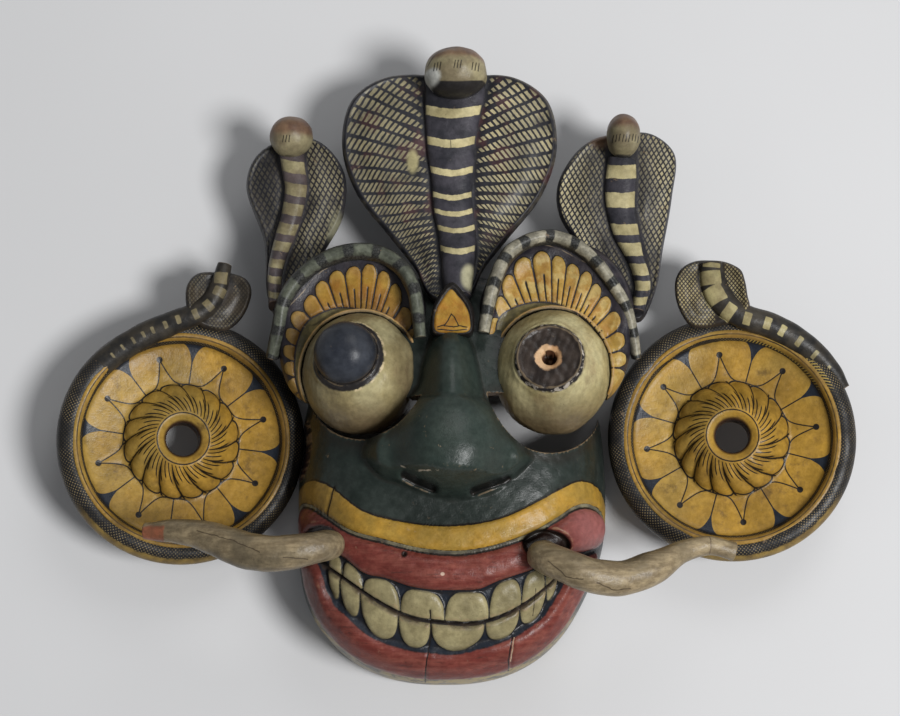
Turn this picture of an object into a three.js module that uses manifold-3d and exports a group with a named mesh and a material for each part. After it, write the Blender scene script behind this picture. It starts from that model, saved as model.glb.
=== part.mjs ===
// A painted cobra-demon dance mask carved in light wood, lying on its back with the face up.
// The face, its eyeballs, brow snakes and three-cobra crest are one carving, hollowed behind for the wearer.
// The two ear discs, the two tusks and the left pupil knob are pieces of their own; the right knob is lost.
// Millimetres: x to the viewer's right, y towards the crest, z out of the face, the back rim in z = 0.
import * as THREE from "three";
import { mergeVertices } from "three/addons/utils/BufferGeometryUtils.js";
import Module from "manifold-3d";

const wasm = await Module();
wasm.setup();

const clearance = 0.35; // between a piece and the one it is seated in

const face = {
  halfWidth: 97,
  widestY: -62,
  topY: 84,
  chinY: -175,
  depth: 88,
  squareness: 2.4,
  wall: 13,
  jawLean: -5, // how far the jaw stands to the left of the brow
};
const mouth = {
  bandY: -88, // middle of the yellow band above the lip
  upperLipY: -106,
  teethY: -137.5, // where the two rows meet
  lowerLipY: -160.5,
  smile: 0.005, // rise towards the corners, per millimetre of x squared
  reach: 88,
  toothTurn: 17, // degrees of the jaw's curve that one tooth takes
};
const eyes = {
  left: { at: [-56, 13, 72], radii: [35, 37, 36], gaze: [-9, 10, 43], slitDrop: 1 },
  right: { at: [61, 14, 72], radii: [35, 38, 36], gaze: [-4, 6, 40], slitDrop: 9 },
};
const seat = { radius: 20, reach: 33.5, holeRadius: 4.8, holeDepth: 14 };
const knob = { radius: 18.7, straight: 3, pegRadius: 4.3, pegLength: 11 };
const brows = {
  left: { at: [-57, 44], halfWidth: 46, rise: 48, drop: 50, lean: 6 },
  right: { at: [64, 47], halfWidth: 48, rise: 51, drop: 52, lean: -9 },
};
const ears = {
  left: {
    at: [-167.5, -24, 40],
    radius: 69,
    tilt: 11,
    petalTurn: 16,
    neck: [[-63, 34, -5], [-36, 58, -2], [-6, 72, 2], [14, 84, 8], [22, 98, 9], [24, 112, 8]],
    hood: [[2, 103], [1, 87], [12, 75], [34, 73], [42, 92], [37, 106], [25, 111], [9, 109]],
  },
  right: {
    at: [174, -22, 40],
    radius: 69,
    tilt: -5,
    petalTurn: 7,
    neck: [[65, 32, -5], [43, 54, -2], [19, 67, 2], [-5, 79, 8], [-10, 94, 9], [-11, 111, 8]],
    hood: [[-33, 98], [-29, 80], [-16, 70], [3, 75], [13, 86], [9, 104], [-7, 110], [-25, 109]],
  },
};
const earRing = { tube: 8, depth: 7 };
const hub = { radius: 35, height: 9, lipRadius: 15.5, holeRadius: 10.5, flutes: 16 };

const degrees = Math.PI / 180;
const white = { cream: 0xb9ae84, charcoal: 0x2b2c31, green: 0x27342f, yellow: 0xb98a2c, knob: 0x2a2f38 };

// A closed geometry as a solid with its faces outwards.
function solidOf(geometry) {
  const loose = geometry.index ? geometry.toNonIndexed() : geometry;
  const bare = new THREE.BufferGeometry().setAttribute("position", loose.getAttribute("position"));
  const merged = mergeVertices(bare, 1e-4);
  const corners = merged.index.array;
  const triangles = [];
  for (let i = 0; i < corners.length; i += 3) {
    const [a, b, c] = corners.slice(i, i + 3);
    if (a !== b && b !== c && c !== a) triangles.push(a, b, c);
  }
  const vertProperties = new Float32Array(merged.getAttribute("position").array);
  const make = (list) =>
    new wasm.Manifold(new wasm.Mesh({ numProp: 3, vertProperties, triVerts: new Uint32Array(list) }));
  const made = make(triangles);
  return made.volume() > 0 ? made : make(triangles.reverse());
}

function geometryOf(solid) {
  const mesh = solid.getMesh();
  const positions = new Float32Array(mesh.numVert * 3);
  for (let i = 0; i < mesh.numVert; i++) {
    const start = i * mesh.numProp;
    positions.set(mesh.vertProperties.subarray(start, start + 3), i * 3);
  }
  return new THREE.BufferGeometry()
    .setAttribute("position", new THREE.BufferAttribute(positions, 3))
    .setIndex(new THREE.BufferAttribute(mesh.triVerts, 1));
}

const joined = (solids) => solids.reduce((whole, next) => whole.add(next));

// Sends every vertex of a geometry through move(vector).
function reshaped(geometry, move) {
  const positions = geometry.getAttribute("position");
  const point = new THREE.Vector3();
  for (let i = 0; i < positions.count; i++) {
    move(point.fromBufferAttribute(positions, i));
    positions.setXYZ(i, point.x, point.y, point.z);
  }
  return geometry;
}

// A profile of [share of the outline, height] turned once round, with place(share, turn, height) for each point.
function turned(profile, segments, place) {
  const points = profile.map(([share, height]) => new THREE.Vector2(share, height));
  const lathe = new THREE.LatheGeometry(points, segments);
  return solidOf(
    reshaped(lathe, (p) => {
      const share = Math.hypot(p.x, p.z);
      const turn = (Math.atan2(p.x, p.z) / (2 * Math.PI) + 1) % 1;
      p.copy(place(share, turn, p.y));
    }),
  );
}

// A pillow of the given outline: its profile's shares shrink the outline towards the middle.
function pillow({ outline, middle, profile, segments, lie = () => 0 }) {
  return turned(profile, segments, (share, turn, height) => {
    const edge = outline(turn);
    const x = middle[0] + (edge.x - middle[0]) * share;
    const y = middle[1] + (edge.y - middle[1]) * share;
    return new THREE.Vector3(x, y, height + lie(x, y));
  });
}

const splineOutline = (points) => {
  const corners = points.map(([x, y]) => new THREE.Vector3(x, y, 0));
  const curve = new THREE.CatmullRomCurve3(corners, true, "centripetal");
  return (turn) => curve.getPoint(turn);
};

// Mirrors a right half given from top to bottom, about x = middle.
const mirroredOutline = (half, middle) =>
  splineOutline([...half.map(([x, y]) => [middle + x, y]), ...half.map(([x, y]) => [middle - x, y]).reverse()]);

function ellipsoid([x, y, z], [rx, ry, rz], wide = 12, high = 8) {
  return solidOf(new THREE.SphereGeometry(1, wide, high).scale(rx, ry, rz).translate(x, y, z));
}

// A bar bent along a smooth line through the route: girth(t) is [half width across, half thickness].
function bentBar({ route, girth, up = () => new THREE.Vector3(0, 0, 1), segments = 8, steps = 8 }) {
  const line = new THREE.CatmullRomCurve3(route.map((p) => new THREE.Vector3(...p)), false, "centripetal");
  const bar = new THREE.CylinderGeometry(1, 1, 1, segments, steps);
  return solidOf(
    reshaped(bar, (p) => {
      const t = p.y + 0.5;
      const along = line.getTangent(t);
      const middle = line.getPoint(t);
      const side = new THREE.Vector3().crossVectors(along, up(middle)).normalize();
      const out = new THREE.Vector3().crossVectors(side, along);
      const [wide, thick] = girth(t);
      const across = side.multiplyScalar(p.x * wide);
      p.copy(middle.add(across).add(out.multiplyScalar(p.z * thick)));
    }),
  );
}

// Rounds a bar's ends off: 1 along its length, falling away over the last share of it.
const roundedEnds = (t, share, least = 0.05) => {
  const left = Math.min(t, 1 - t) / share;
  return left >= 1 ? 1 : Math.max(least, Math.sqrt(1 - (1 - left) ** 2));
};

// Eases between the values of a list as t goes from 0 to 1.
function between(values, t) {
  const place = t * (values.length - 1);
  const step = Math.min(values.length - 2, Math.floor(place));
  return THREE.MathUtils.lerp(values[step], values[step + 1], place - step);
}

const toAxis = (axis) =>
  new THREE.Matrix4().makeRotationFromQuaternion(
    new THREE.Quaternion().setFromUnitVectors(new THREE.Vector3(0, 1, 0), axis),
  );

// A round bar from `from` to `to` along an axis that leaves the point `at`.
function peg(at, axis, from, to, radius, segments = 16) {
  const bar = new THREE.CylinderGeometry(radius, radius, to - from, segments).translate(0, (from + to) / 2, 0);
  return solidOf(bar.applyMatrix4(toAxis(axis)).translate(...at));
}

// The face's rounded-square plan, with `inset` taken off all round.
function facePlan(turn, inset = 0) {
  const angle = turn * 2 * Math.PI;
  const power = 2 / face.squareness;
  const reach = (Math.sin(angle) > 0 ? face.topY - face.widestY : face.widestY - face.chinY) - inset;
  const soft = (value) => Math.sign(value) * Math.abs(value) ** power;
  return new THREE.Vector2(
    (face.halfWidth - inset) * soft(Math.cos(angle)),
    face.widestY + reach * soft(Math.sin(angle)),
  );
}

// The jaw leans a little to the left below the cheeks.
const leanAt = (y) => face.jawLean * THREE.MathUtils.smoothstep(-y, 75, 135);

// How far out of the middle of the face a point lies: 1 is the outline.
function faceShare(x, y, inset = 0) {
  const reach = (y > face.widestY ? face.topY - face.widestY : face.widestY - face.chinY) - inset;
  const across = Math.abs(x - leanAt(y)) / (face.halfWidth - inset);
  const along = Math.abs(y - face.widestY) / reach;
  return (across ** face.squareness + along ** face.squareness) ** (1 / face.squareness);
}

const domed = (share) => Math.max(0, 1 - Math.min(1, share) ** 2.8) ** 0.42;
const faceFront = (x, y) => face.depth * domed(faceShare(x, y));

function faceNormal({ x, y }) {
  const step = 1.5;
  const slopeX = (faceFront(x + step, y) - faceFront(x - step, y)) / (2 * step);
  const slopeY = (faceFront(x, y + step) - faceFront(x, y - step)) / (2 * step);
  return new THREE.Vector3(-slopeX, -slopeY, 1).normalize();
}

function faceShell() {
  const rings = 6;
  const profile = [...Array(rings + 1).keys()].map((i) => [Math.sin((i / rings) * 90 * degrees), 1]);
  return turned([...profile, [0, 0]], 32, (share, turn, height) => {
    const edge = facePlan(turn);
    const y = face.widestY + (edge.y - face.widestY) * share;
    return new THREE.Vector3(edge.x * share + leanAt(y), y, height > 0.5 ? face.depth * domed(share) : 0);
  });
}

// The hollow for the wearer's face, open at the back.
function hollow() {
  const rings = 4;
  const profile = [...Array(rings + 1).keys()].map((i) => [Math.sin((i / rings) * 90 * degrees), 1]);
  const depth = face.depth - face.wall - 3;
  return turned([...profile, [1, -5], [0, -5]], 20, (share, turn, height) => {
    const edge = facePlan(turn, face.wall);
    const y = face.widestY + (edge.y - face.widestY) * share;
    return new THREE.Vector3(edge.x * share + leanAt(y), y, height > 0 ? depth * domed(share) : height);
  });
}

// A band that follows the face from corner to corner, its middle at `middleY` and rising with the smile.
function mouthBand({ middleY, reach, halfWidth, proud, smile = mouth.smile, steps = 8 }) {
  const sunk = 3; // so deep in the face that its underside is never bare
  const route = [-1, -0.8, -0.5, 0, 0.5, 0.8, 1].map((share) => {
    const x = share * reach;
    const y = middleY + smile * x * x;
    return [x, y, faceFront(x, y) - sunk];
  });
  const girth = (t) => [halfWidth * roundedEnds(t, 0.07, 0.3), (proud + sunk) * roundedEnds(t, 0.07, 0.3)];
  return bentBar({ route, girth, up: faceNormal, segments: 5, steps });
}

function teeth() {
  const pads = [];
  for (const row of [
    { top: 17.5, bottom: 1.2, proud: 3 },
    { top: -1.6, bottom: -14, proud: 2 },
  ]) {
    for (let i = -3; i < 3; i++) {
      const turn = (i + 0.5) * mouth.toothTurn - 3;
      const x = mouth.reach * Math.sin(turn * degrees);
      const wide = 0.44 * mouth.toothTurn * degrees * mouth.reach * Math.cos(turn * degrees);
      const y = mouth.teethY + 0.0057 * x * x + (row.top + row.bottom) / 2;
      const tall = (row.top - row.bottom) / 2;
      const outline = (turnOf) => {
        const angle = turnOf * 2 * Math.PI + 45 * degrees;
        return new THREE.Vector2(x + wide * Math.sign(Math.cos(angle)), y + tall * Math.sign(Math.sin(angle)));
      };
      const profile = [[0, -4], [1, -4], [0.85, row.proud], [0, row.proud + 0.4]];
      pads.push(pillow({ outline, middle: [x, y], profile, segments: 4, lie: faceFront }));
    }
  }
  return joined(pads);
}

function nose() {
  const bridge = bentBar({
    route: [[-1, 44, 76], [-1, 20, 89], [-1, -8, 98], [-1, -30, 106], [-1, -50, 106]],
    girth: (t) => [
      between([11, 16, 20, 26, 29], t),
      between([12, 17, 22, 26, 20], t) * roundedEnds(t, 0.12, 0.6),
    ],
    segments: 8,
    steps: 6,
  });
  const tip = ellipsoid([-1, -34, 106], [31, 26, 24], 10, 7);
  const flare = (side) =>
    bentBar({
      route: [[side * 9, 12, 82], [side * 22, -10, 89], [side * 35, -31, 92], [side * 36, -50, 90]],
      girth: (t) => [between([6, 12, 15, 12], t), between([8, 14, 19, 15], t)],
      segments: 7,
      steps: 5,
    }).translate([-2, 0, 0]);
  const nostril = (side) =>
    bentBar({
      route: [[side * 9, -62, 104], [side * 19, -57, 110], [side * 30, -53, 106]],
      girth: () => [3.2, 7],
      segments: 5,
      steps: 2,
    });
  const underside = new THREE.BoxGeometry(140, 40, 80).rotateX(-24 * degrees).translate(0, -72.6, 118);
  return joined([bridge, tip, flare(-1), flare(1)])
    .subtract(solidOf(underside))
    .subtract(nostril(-1))
    .subtract(nostril(1));
}

// One eyeball with the flat seat of its pupil and the peg hole in the middle of the seat.
function eyeball({ at, radii, gaze }) {
  const axis = new THREE.Vector3(...gaze).normalize();
  return ellipsoid(at, radii, 14, 8)
    .subtract(peg(at, axis, seat.reach, seat.reach + 20, seat.radius))
    .add(peg(at, axis, 10, seat.reach, seat.radius))
    .subtract(peg(at, axis, seat.reach - seat.holeDepth, seat.reach + 20, seat.holeRadius, 8));
}

// The see-through slit under an eyeball: the eyeball is put back inside it afterwards.
function sightSlit({ at, radii, slitDrop }) {
  const inward = -Math.sign(at[0]) * 3;
  const plan = new THREE.CylinderGeometry(1, 1, 200, 20).rotateX(90 * degrees);
  return solidOf(plan.scale(radii[0] + 2, radii[1] + 3, 1).translate(at[0] + inward, at[1] - slitDrop, 100));
}

// The plan of one brow: a leaning arch round the eye.
function browPlan({ at, halfWidth, rise, drop, lean }, inset = 0) {
  return (turn) => {
    const angle = turn * 2 * Math.PI;
    const up = Math.sin(angle) > 0;
    const soft = (value) => Math.sign(value) * Math.abs(value) ** (up ? 0.95 : 0.6);
    const edge = new THREE.Vector2(
      (halfWidth - inset) * soft(Math.cos(angle)),
      ((up ? rise : drop) - inset) * soft(Math.sin(angle)),
    );
    return edge.rotateAround(new THREE.Vector2(), lean * degrees).add(new THREE.Vector2(...at));
  };
}

function brow(plan) {
  const profile = [[0, 16], [0.78, 16], [0.97, 45], [1, 66], [0.92, 77], [0.7, 78], [0, 74]];
  return pillow({ outline: browPlan(plan), middle: plan.at, profile, segments: 18 });
}

// The banded snake body that lies along the top of a brow, from its cobra's hood to the nose bridge.
function browSnake(plan) {
  const outward = Math.sign(plan.at[0]);
  const edge = browPlan(plan, 4.5);
  const route = [0, 1, 2, 3, 4, 5, 6].map((i) => {
    const angle = 90 - outward * (70 - i * 28);
    const point = edge(((angle + 360) % 360) / 360);
    return [point.x, point.y, 72 + i * 2.4];
  });
  return bentBar({ route, girth: (t) => [5.2, 8 * roundedEnds(t, 0.1)], segments: 5, steps: 8 });
}

function browOrnament() {
  const outline = mirroredOutline([[0, 66], [8, 56], [13, 44], [11, 36]], 1);
  const profile = [[0, 60], [1, 60], [0.97, 90], [0.75, 93], [0, 94]];
  return pillow({ outline, middle: [1, 47], profile, segments: 8 });
}

function forehead() {
  return ellipsoid([0, 52, 52], [34, 34, 32], 10, 6);
}

const hoodProfile = (half) => [
  [0, -half],
  [0.85, -half * 0.8],
  [1, 0],
  [0.8, half * 0.85],
  [0, half],
];

// A cobra of the crest: its spread hood, the ringed belly down the middle and the head bowed over it.
function crestCobra({ outline, middle, half, lie, belly, bellyWidths, head, headRadii, segments }) {
  const hood = pillow({ outline, middle, profile: hoodProfile(half), segments, lie });
  const strip = bentBar({
    route: belly.map(([x, y]) => [x, y, lie(x, y) + half - 1]),
    girth: (t) => [between(bellyWidths, t), 7 * roundedEnds(t, 0.1, 0.4)],
    segments: 6,
    steps: 7,
  });
  return joined([hood, strip, ellipsoid(head, headRadii, 10, 6)]);
}

const centreCobra = () =>
  crestCobra({
    outline: mirroredOutline(
      [[8, 208], [40, 205], [60, 190], [66, 160], [57, 130], [36, 102], [20, 80], [12, 60]],
      -1.5,
    ),
    middle: [-1.5, 150],
    half: 8.5,
    lie: (x, y) => 46 + 22 * THREE.MathUtils.smoothstep(-y, -120, -55) + 0.0012 * x * x,
    belly: [[2, 207], [0, 172], [-0.5, 145], [1, 115], [3, 88], [3.5, 60]],
    bellyWidths: [19, 17, 13.2, 12, 10.5, 8],
    head: [2.4, 203, 66],
    headRadii: [19.5, 16, 20],
    segments: 24,
  });

const leftCobra = () =>
  crestCobra({
    outline: splineOutline([
      [-104, 168], [-84, 165], [-68, 145], [-68, 118], [-82, 88], [-88, 60],
      [-103, 42], [-114, 62], [-118, 100], [-130, 138], [-124, 156],
    ]),
    middle: [-99, 118],
    half: 8,
    lie: (x, y) => 42 + 16 * THREE.MathUtils.smoothstep(-y, -110, -50) + 0.1 * (x + 99),
    belly: [[-101, 164], [-98, 138], [-101, 113], [-107, 88], [-109, 60]],
    bellyWidths: [8.5, 6.8, 6.8, 5.4, 4.6],
    head: [-100.4, 164.5, 58],
    headRadii: [13.5, 12, 15],
    segments: 16,
  });

const rightCobra = () =>
  crestCobra({
    outline: splineOutline([
      [106, 171], [128, 170], [141, 158], [139, 130], [133, 98], [126, 66],
      [115, 47], [100, 60], [86, 88], [67, 118], [67, 138], [84, 163],
    ]),
    middle: [108, 116],
    half: 8,
    lie: (x, y) => 42 + 16 * THREE.MathUtils.smoothstep(-y, -110, -50) - 0.1 * (x - 108),
    belly: [[107, 162], [106, 139], [106.5, 114], [113, 91], [117, 62]],
    bellyWidths: [9.4, 9.8, 9, 7.2, 4.6],
    head: [107, 164.5, 60],
    headRadii: [10.5, 13.5, 16],
    segments: 16,
  });

const earAxis = ({ tilt }) => new THREE.Vector3(Math.sin(tilt * degrees), 0, Math.cos(tilt * degrees));

// The seat that an ear disc's edge is let into: a plain disc whose flats clear the ear's own edge.
function earSeat(ear) {
  const sides = 24;
  const radius = (ear.radius + earRing.tube + clearance) / Math.cos((180 / sides) * degrees);
  return peg(ear.at, earAxis(ear), -earRing.depth - earRing.tube - 2, 200, radius, sides);
}

function carvedFace() {
  const shell = joined([faceShell(), brow(brows.left), brow(brows.right), forehead()]);
  const open = shell.subtract(sightSlit(eyes.left)).subtract(sightSlit(eyes.right));
  const features = joined([
    open,
    eyeball(eyes.left),
    eyeball(eyes.right),
    nose(),
    browSnake(brows.left),
    browSnake(brows.right),
    browOrnament(),
    mouthBand({ middleY: mouth.bandY, reach: 90, halfWidth: 8, proud: 5 }),
    mouthBand({ middleY: mouth.upperLipY, reach: 90, halfWidth: 11.5, proud: 6.5 }),
    mouthBand({ middleY: mouth.lowerLipY, reach: 88, halfWidth: 8.5, proud: 6, smile: 0.0088 }),
    teeth(),
    centreCobra(),
    leftCobra(),
    rightCobra(),
  ]);
  return features
    .subtract(hollow())
    .subtract(tusk(tusks.left, clearance))
    .subtract(tusk(tusks.right, clearance))
    .subtract(earSeat(ears.left))
    .subtract(earSeat(ears.right));
}

const tusks = {
  left: {
    route: [
      [-76, -90, 74], [-74, -92, 97], [-86, -95, 104], [-104, -97.5, 104],
      [-121, -95.5, 100.5], [-140, -88.5, 95.5], [-158, -84, 90], [-182, -83, 84.5],
    ],
    radii: [6, 9.5, 10.8, 11.6, 11.6, 10, 8, 5.6],
  },
  right: {
    route: [
      [56, -94, 74], [55, -99, 97], [67, -105, 105], [83, -110.5, 105], [100, -111.5, 100],
      [118, -105.5, 95.5], [136, -96, 90], [152, -91.5, 85.5], [167, -95, 82],
    ],
    radii: [6, 9.5, 10.8, 11.4, 11.3, 10.7, 7.6, 6.3, 6.3],
  },
};

// With room added all round, the same bar is the hole the tusk stands in.
function tusk({ route, radii }, room = 0) {
  const [root, ...rest] = route;
  const start = [root[0], root[1], root[2] - room];
  const girth = (t) => [between(radii, t) + room, between(radii, t) * 0.92 + room];
  const up = () => new THREE.Vector3(0, 1, 0.2).normalize();
  return bentBar({ route: [start, ...rest], girth, up, segments: 9, steps: 11 });
}

function pupilKnob({ at, gaze }) {
  const axis = new THREE.Vector3(...gaze).normalize();
  const foot = clearance;
  const steps = 4;
  const dome = [...Array(steps + 1).keys()].map((i) => {
    const angle = (i / steps) * 90 * degrees;
    return [knob.radius * Math.cos(angle), foot + knob.straight + knob.radius * 0.92 * Math.sin(angle)];
  });
  const profile = [
    [0, -knob.pegLength],
    [knob.pegRadius, -knob.pegLength],
    [knob.pegRadius, foot],
    [knob.radius, foot],
    ...dome,
  ];
  profile[profile.length - 1][0] = 0;
  const lathe = new THREE.LatheGeometry(profile.map(([r, h]) => new THREE.Vector2(r, h)), 16);
  return solidOf(lathe.translate(0, seat.reach, 0).applyMatrix4(toAxis(axis)).translate(...at));
}

// The dished disc of an ear, its lipped hub open right through. Heights are from the rim.
function earDish({ radius, petalTurn }) {
  const back = -14;
  const floor = -8;
  const profile = [
    [hub.holeRadius, back],
    [radius - 3, back + 2],
    [radius - 1, 1],
    [radius - 5, 0],
    [radius - 9, -6],
    [radius - 24, floor],
    [hub.radius, floor - 1],
    [hub.radius - 3, floor + 5],
    [22, hub.height - 2],
    [hub.lipRadius, hub.height],
    [hub.holeRadius, hub.height - 5],
  ];
  profile.push(profile[0]);
  const segments = hub.flutes * 2;
  return turned(profile, segments, (share, turn, height) => {
    const ridge = Math.round(turn * segments) % 2 === 0;
    const fluted = share > hub.lipRadius + 3 && share < hub.radius + 1 && height > back;
    const reach = share + (fluted && ridge ? 1.8 : 0);
    const angle = turn * 2 * Math.PI + petalTurn * degrees;
    const raised = height + (fluted && ridge ? 1 : 0);
    return new THREE.Vector3(reach * Math.cos(angle), reach * Math.sin(angle), raised);
  });
}

// The snake that lies round the edge of an ear disc, its neck rising to the small hood above. The head is lost.
function earSnake({ radius, neck, hood }) {
  const ring = new THREE.TorusGeometry(radius, earRing.tube, 6, 22).translate(0, 0, -earRing.depth);
  const body = bentBar({
    route: neck,
    girth: (t) => [between([5, 8, 9, 7, 6, 5.5], t), between([5, 7, 7, 6, 5, 4.5], t)],
    segments: 5,
    steps: 7,
  });
  const middle = [0, 1].map((axis) => hood.reduce((sum, point) => sum + point[axis], 0) / hood.length);
  const profile = [[0, -5], [0.9, -4], [1, 0], [0.75, 4], [0, 5]];
  const lie = (x) => 3 + 0.012 * (x - middle[0]) ** 2;
  const spread = pillow({ outline: splineOutline(hood), middle, profile, segments: 12, lie });
  return joined([solidOf(ring), spread, body]);
}

function ear(plan) {
  const mesh = new THREE.Mesh(geometryOf(joined([earDish(plan), earSnake(plan)])));
  mesh.position.set(...plan.at);
  mesh.rotation.y = plan.tilt * degrees;
  return mesh;
}

function placed(name, mesh, color, roughness) {
  mesh.name = name;
  mesh.material = new THREE.MeshStandardMaterial({ color, roughness, metalness: 0 });
  return mesh;
}

const mask = new THREE.Group();
mask.add(placed("face", new THREE.Mesh(geometryOf(carvedFace())), white.green, 0.5));
mask.add(placed("left_ear", ear(ears.left), white.yellow, 0.5));
mask.add(placed("right_ear", ear(ears.right), white.yellow, 0.5));
mask.add(placed("left_tusk", new THREE.Mesh(geometryOf(tusk(tusks.left))), white.cream, 0.55));
mask.add(placed("right_tusk", new THREE.Mesh(geometryOf(tusk(tusks.right))), white.cream, 0.55));
mask.add(placed("left_pupil", new THREE.Mesh(geometryOf(pupilKnob(eyes.left))), white.knob, 0.4));

// The origin is under the middle of the whole mask, on the surface it lies on.
const extent = new THREE.Box3().setFromObject(mask, true);
const middle = extent.getCenter(new THREE.Vector3());
for (const piece of mask.children) piece.position.sub(new THREE.Vector3(middle.x, middle.y, extent.min.z));

export default mask;
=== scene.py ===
import math

import bmesh
import bpy
import numpy as np
from mathutils import Matrix, Vector


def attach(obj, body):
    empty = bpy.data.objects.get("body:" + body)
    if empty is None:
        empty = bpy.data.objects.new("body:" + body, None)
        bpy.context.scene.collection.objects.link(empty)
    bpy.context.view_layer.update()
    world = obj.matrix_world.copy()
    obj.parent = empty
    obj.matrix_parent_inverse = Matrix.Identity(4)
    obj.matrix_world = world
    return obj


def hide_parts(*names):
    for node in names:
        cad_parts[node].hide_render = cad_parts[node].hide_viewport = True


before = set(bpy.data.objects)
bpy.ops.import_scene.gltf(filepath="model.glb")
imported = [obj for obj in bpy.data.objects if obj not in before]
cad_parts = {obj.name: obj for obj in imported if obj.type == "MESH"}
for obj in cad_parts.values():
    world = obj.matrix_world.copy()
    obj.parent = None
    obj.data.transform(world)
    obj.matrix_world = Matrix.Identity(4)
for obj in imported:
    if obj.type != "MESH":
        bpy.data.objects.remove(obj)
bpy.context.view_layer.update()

# Measures are millimetres in the carver's frame: y = 0 between the eyes, z = 0 at the back rim
rowShift = np.array([3.448, 22.0, 0.0])

scene = bpy.context.scene
scene.view_settings.view_transform = "Standard"


# Shape helpers

def eased(value):
    value = np.clip(value, 0, 1)
    return value * value * (3 - 2 * value)


def roundedRise(inside, roundness):
    # 0 at an edge, 1 from roundness millimetres inside it
    share = np.clip(inside / roundness, 0, 1)
    return np.sqrt(1 - (1 - share) ** 2)


def bell(value, width):
    return np.exp(-(value / width) ** 2)


def softMax(first, second, blend):
    gap = np.clip(0.5 + 0.5 * (second - first) / blend, 0, 1)
    return first + (second - first) * gap + blend * gap * (1 - gap)


def unitVectors(vectors):
    return vectors / np.maximum(np.linalg.norm(vectors, axis=1), 1e-9)[:, None]


def lineThrough(points):
    # a smooth y for any x, through the points
    xs, ys = np.array(points, float).T
    slopes = np.gradient(ys, xs)

    def line(x):
        x = np.clip(x, xs[0], xs[-1])
        i = np.clip(np.searchsorted(xs, x) - 1, 0, len(xs) - 2)
        gap = xs[i + 1] - xs[i]
        t = (x - xs[i]) / gap
        start = (1 + 2 * t) * (1 - t) ** 2 * ys[i] + t * (1 - t) ** 2 * gap * slopes[i]
        end = t * t * (3 - 2 * t) * ys[i + 1] + t * t * (t - 1) * gap * slopes[i + 1]
        return start + end

    return line


def evenly(values):
    return lineThrough(list(zip(np.linspace(0, 1, len(values)), values)))


def routeThrough(points, closed=False, fine=400):
    # a smooth route: returns place(t) and direction(t) for t from 0 to 1
    points = np.array(points, float)
    if closed:
        points = np.vstack([points[-2:], points, points[:3]])
    steps = np.linalg.norm(np.diff(points, axis=0), axis=1) ** 0.6
    knots = np.concatenate([[0], np.cumsum(steps)])
    first, last = (knots[2], knots[-3]) if closed else (knots[0], knots[-1])
    lines = [lineThrough(list(zip(knots, points[:, axis]))) for axis in range(points.shape[1])]
    samples = np.linspace(first, last, fine)
    path = np.stack([line(samples) for line in lines], axis=1)
    run = np.concatenate([[0], np.cumsum(np.linalg.norm(np.diff(path, axis=0), axis=1))])

    def place(t):
        return np.stack([np.interp(t * run[-1], run, path[:, axis]) for axis in range(path.shape[1])], axis=1)

    def direction(t):
        return unitVectors(place(np.clip(t + 0.01, 0, 1)) - place(np.clip(t - 0.01, 0, 1)))

    place.length = run[-1]
    return place, direction


def handWaver(points, size, seed):
    # slow unevenness of hand carving, about -1 to 1
    rng = np.random.default_rng(seed)
    total = np.zeros(len(points))
    for _ in range(5):
        direction = unitVectors(rng.normal(size=(1, 3)))[0]
        total += np.sin(points @ direction * 2 * math.pi / (size * rng.uniform(0.6, 1.6)) + rng.uniform(0, 6.28))
    return total / 3


def nearSegment(x, y, start, end):
    # how far a spot lies from the straight line between two points
    start, run = np.array(start, float), np.array(end, float) - np.array(start, float)
    along = np.clip(((x - start[0]) * run[0] + (y - start[1]) * run[1]) / (run @ run), 0, 1)
    return np.hypot(x - start[0] - along * run[0], y - start[1] - along * run[1])


def toRow(points):
    return (points - rowShift) / 1000


def carve(name, start, place, weld=False):
    # start fills a bmesh with a unit shape; place(unit points) gives millimetres and the paint fields
    bm = bmesh.new()
    start(bm)
    mesh = bpy.data.meshes.new(name)
    bm.to_mesh(mesh)
    bm.free()
    unit = np.empty(len(mesh.vertices) * 3)
    mesh.vertices.foreach_get("co", unit)
    points, fields = place(unit.reshape(-1, 3))
    mesh.vertices.foreach_set("co", toRow(points).ravel())
    for field, values in fields.items():
        mesh.attributes.new(field, "FLOAT", "POINT").data.foreach_set("value", values.astype(np.float32))
    bm = bmesh.new()
    bm.from_mesh(mesh)
    if weld:
        bmesh.ops.remove_doubles(bm, verts=bm.verts, dist=0.000001)
    bmesh.ops.recalc_face_normals(bm, faces=bm.faces)
    bm.to_mesh(mesh)
    bm.free()
    mesh.shade_smooth()
    piece = bpy.data.objects.new(name, mesh)
    scene.collection.objects.link(piece)
    return piece


def ball(around, along):  # a unit ball with its poles on z
    return lambda bm: bmesh.ops.create_uvsphere(bm, u_segments=around, v_segments=along, radius=1)


def sheetGrid(around, along):
    return lambda bm: bmesh.ops.create_grid(bm, x_segments=around, y_segments=along, size=0.5)


def turnAndRise(unit):
    # the ball's longitude 0 to 1, and its latitude from 0 at the back to 1 at the front
    turn = np.mod(np.arctan2(unit[:, 1], unit[:, 0]) / (2 * math.pi), 1)
    rise = 1 - np.arccos(np.clip(unit[:, 2], -1, 1)) / math.pi
    return turn, rise


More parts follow.
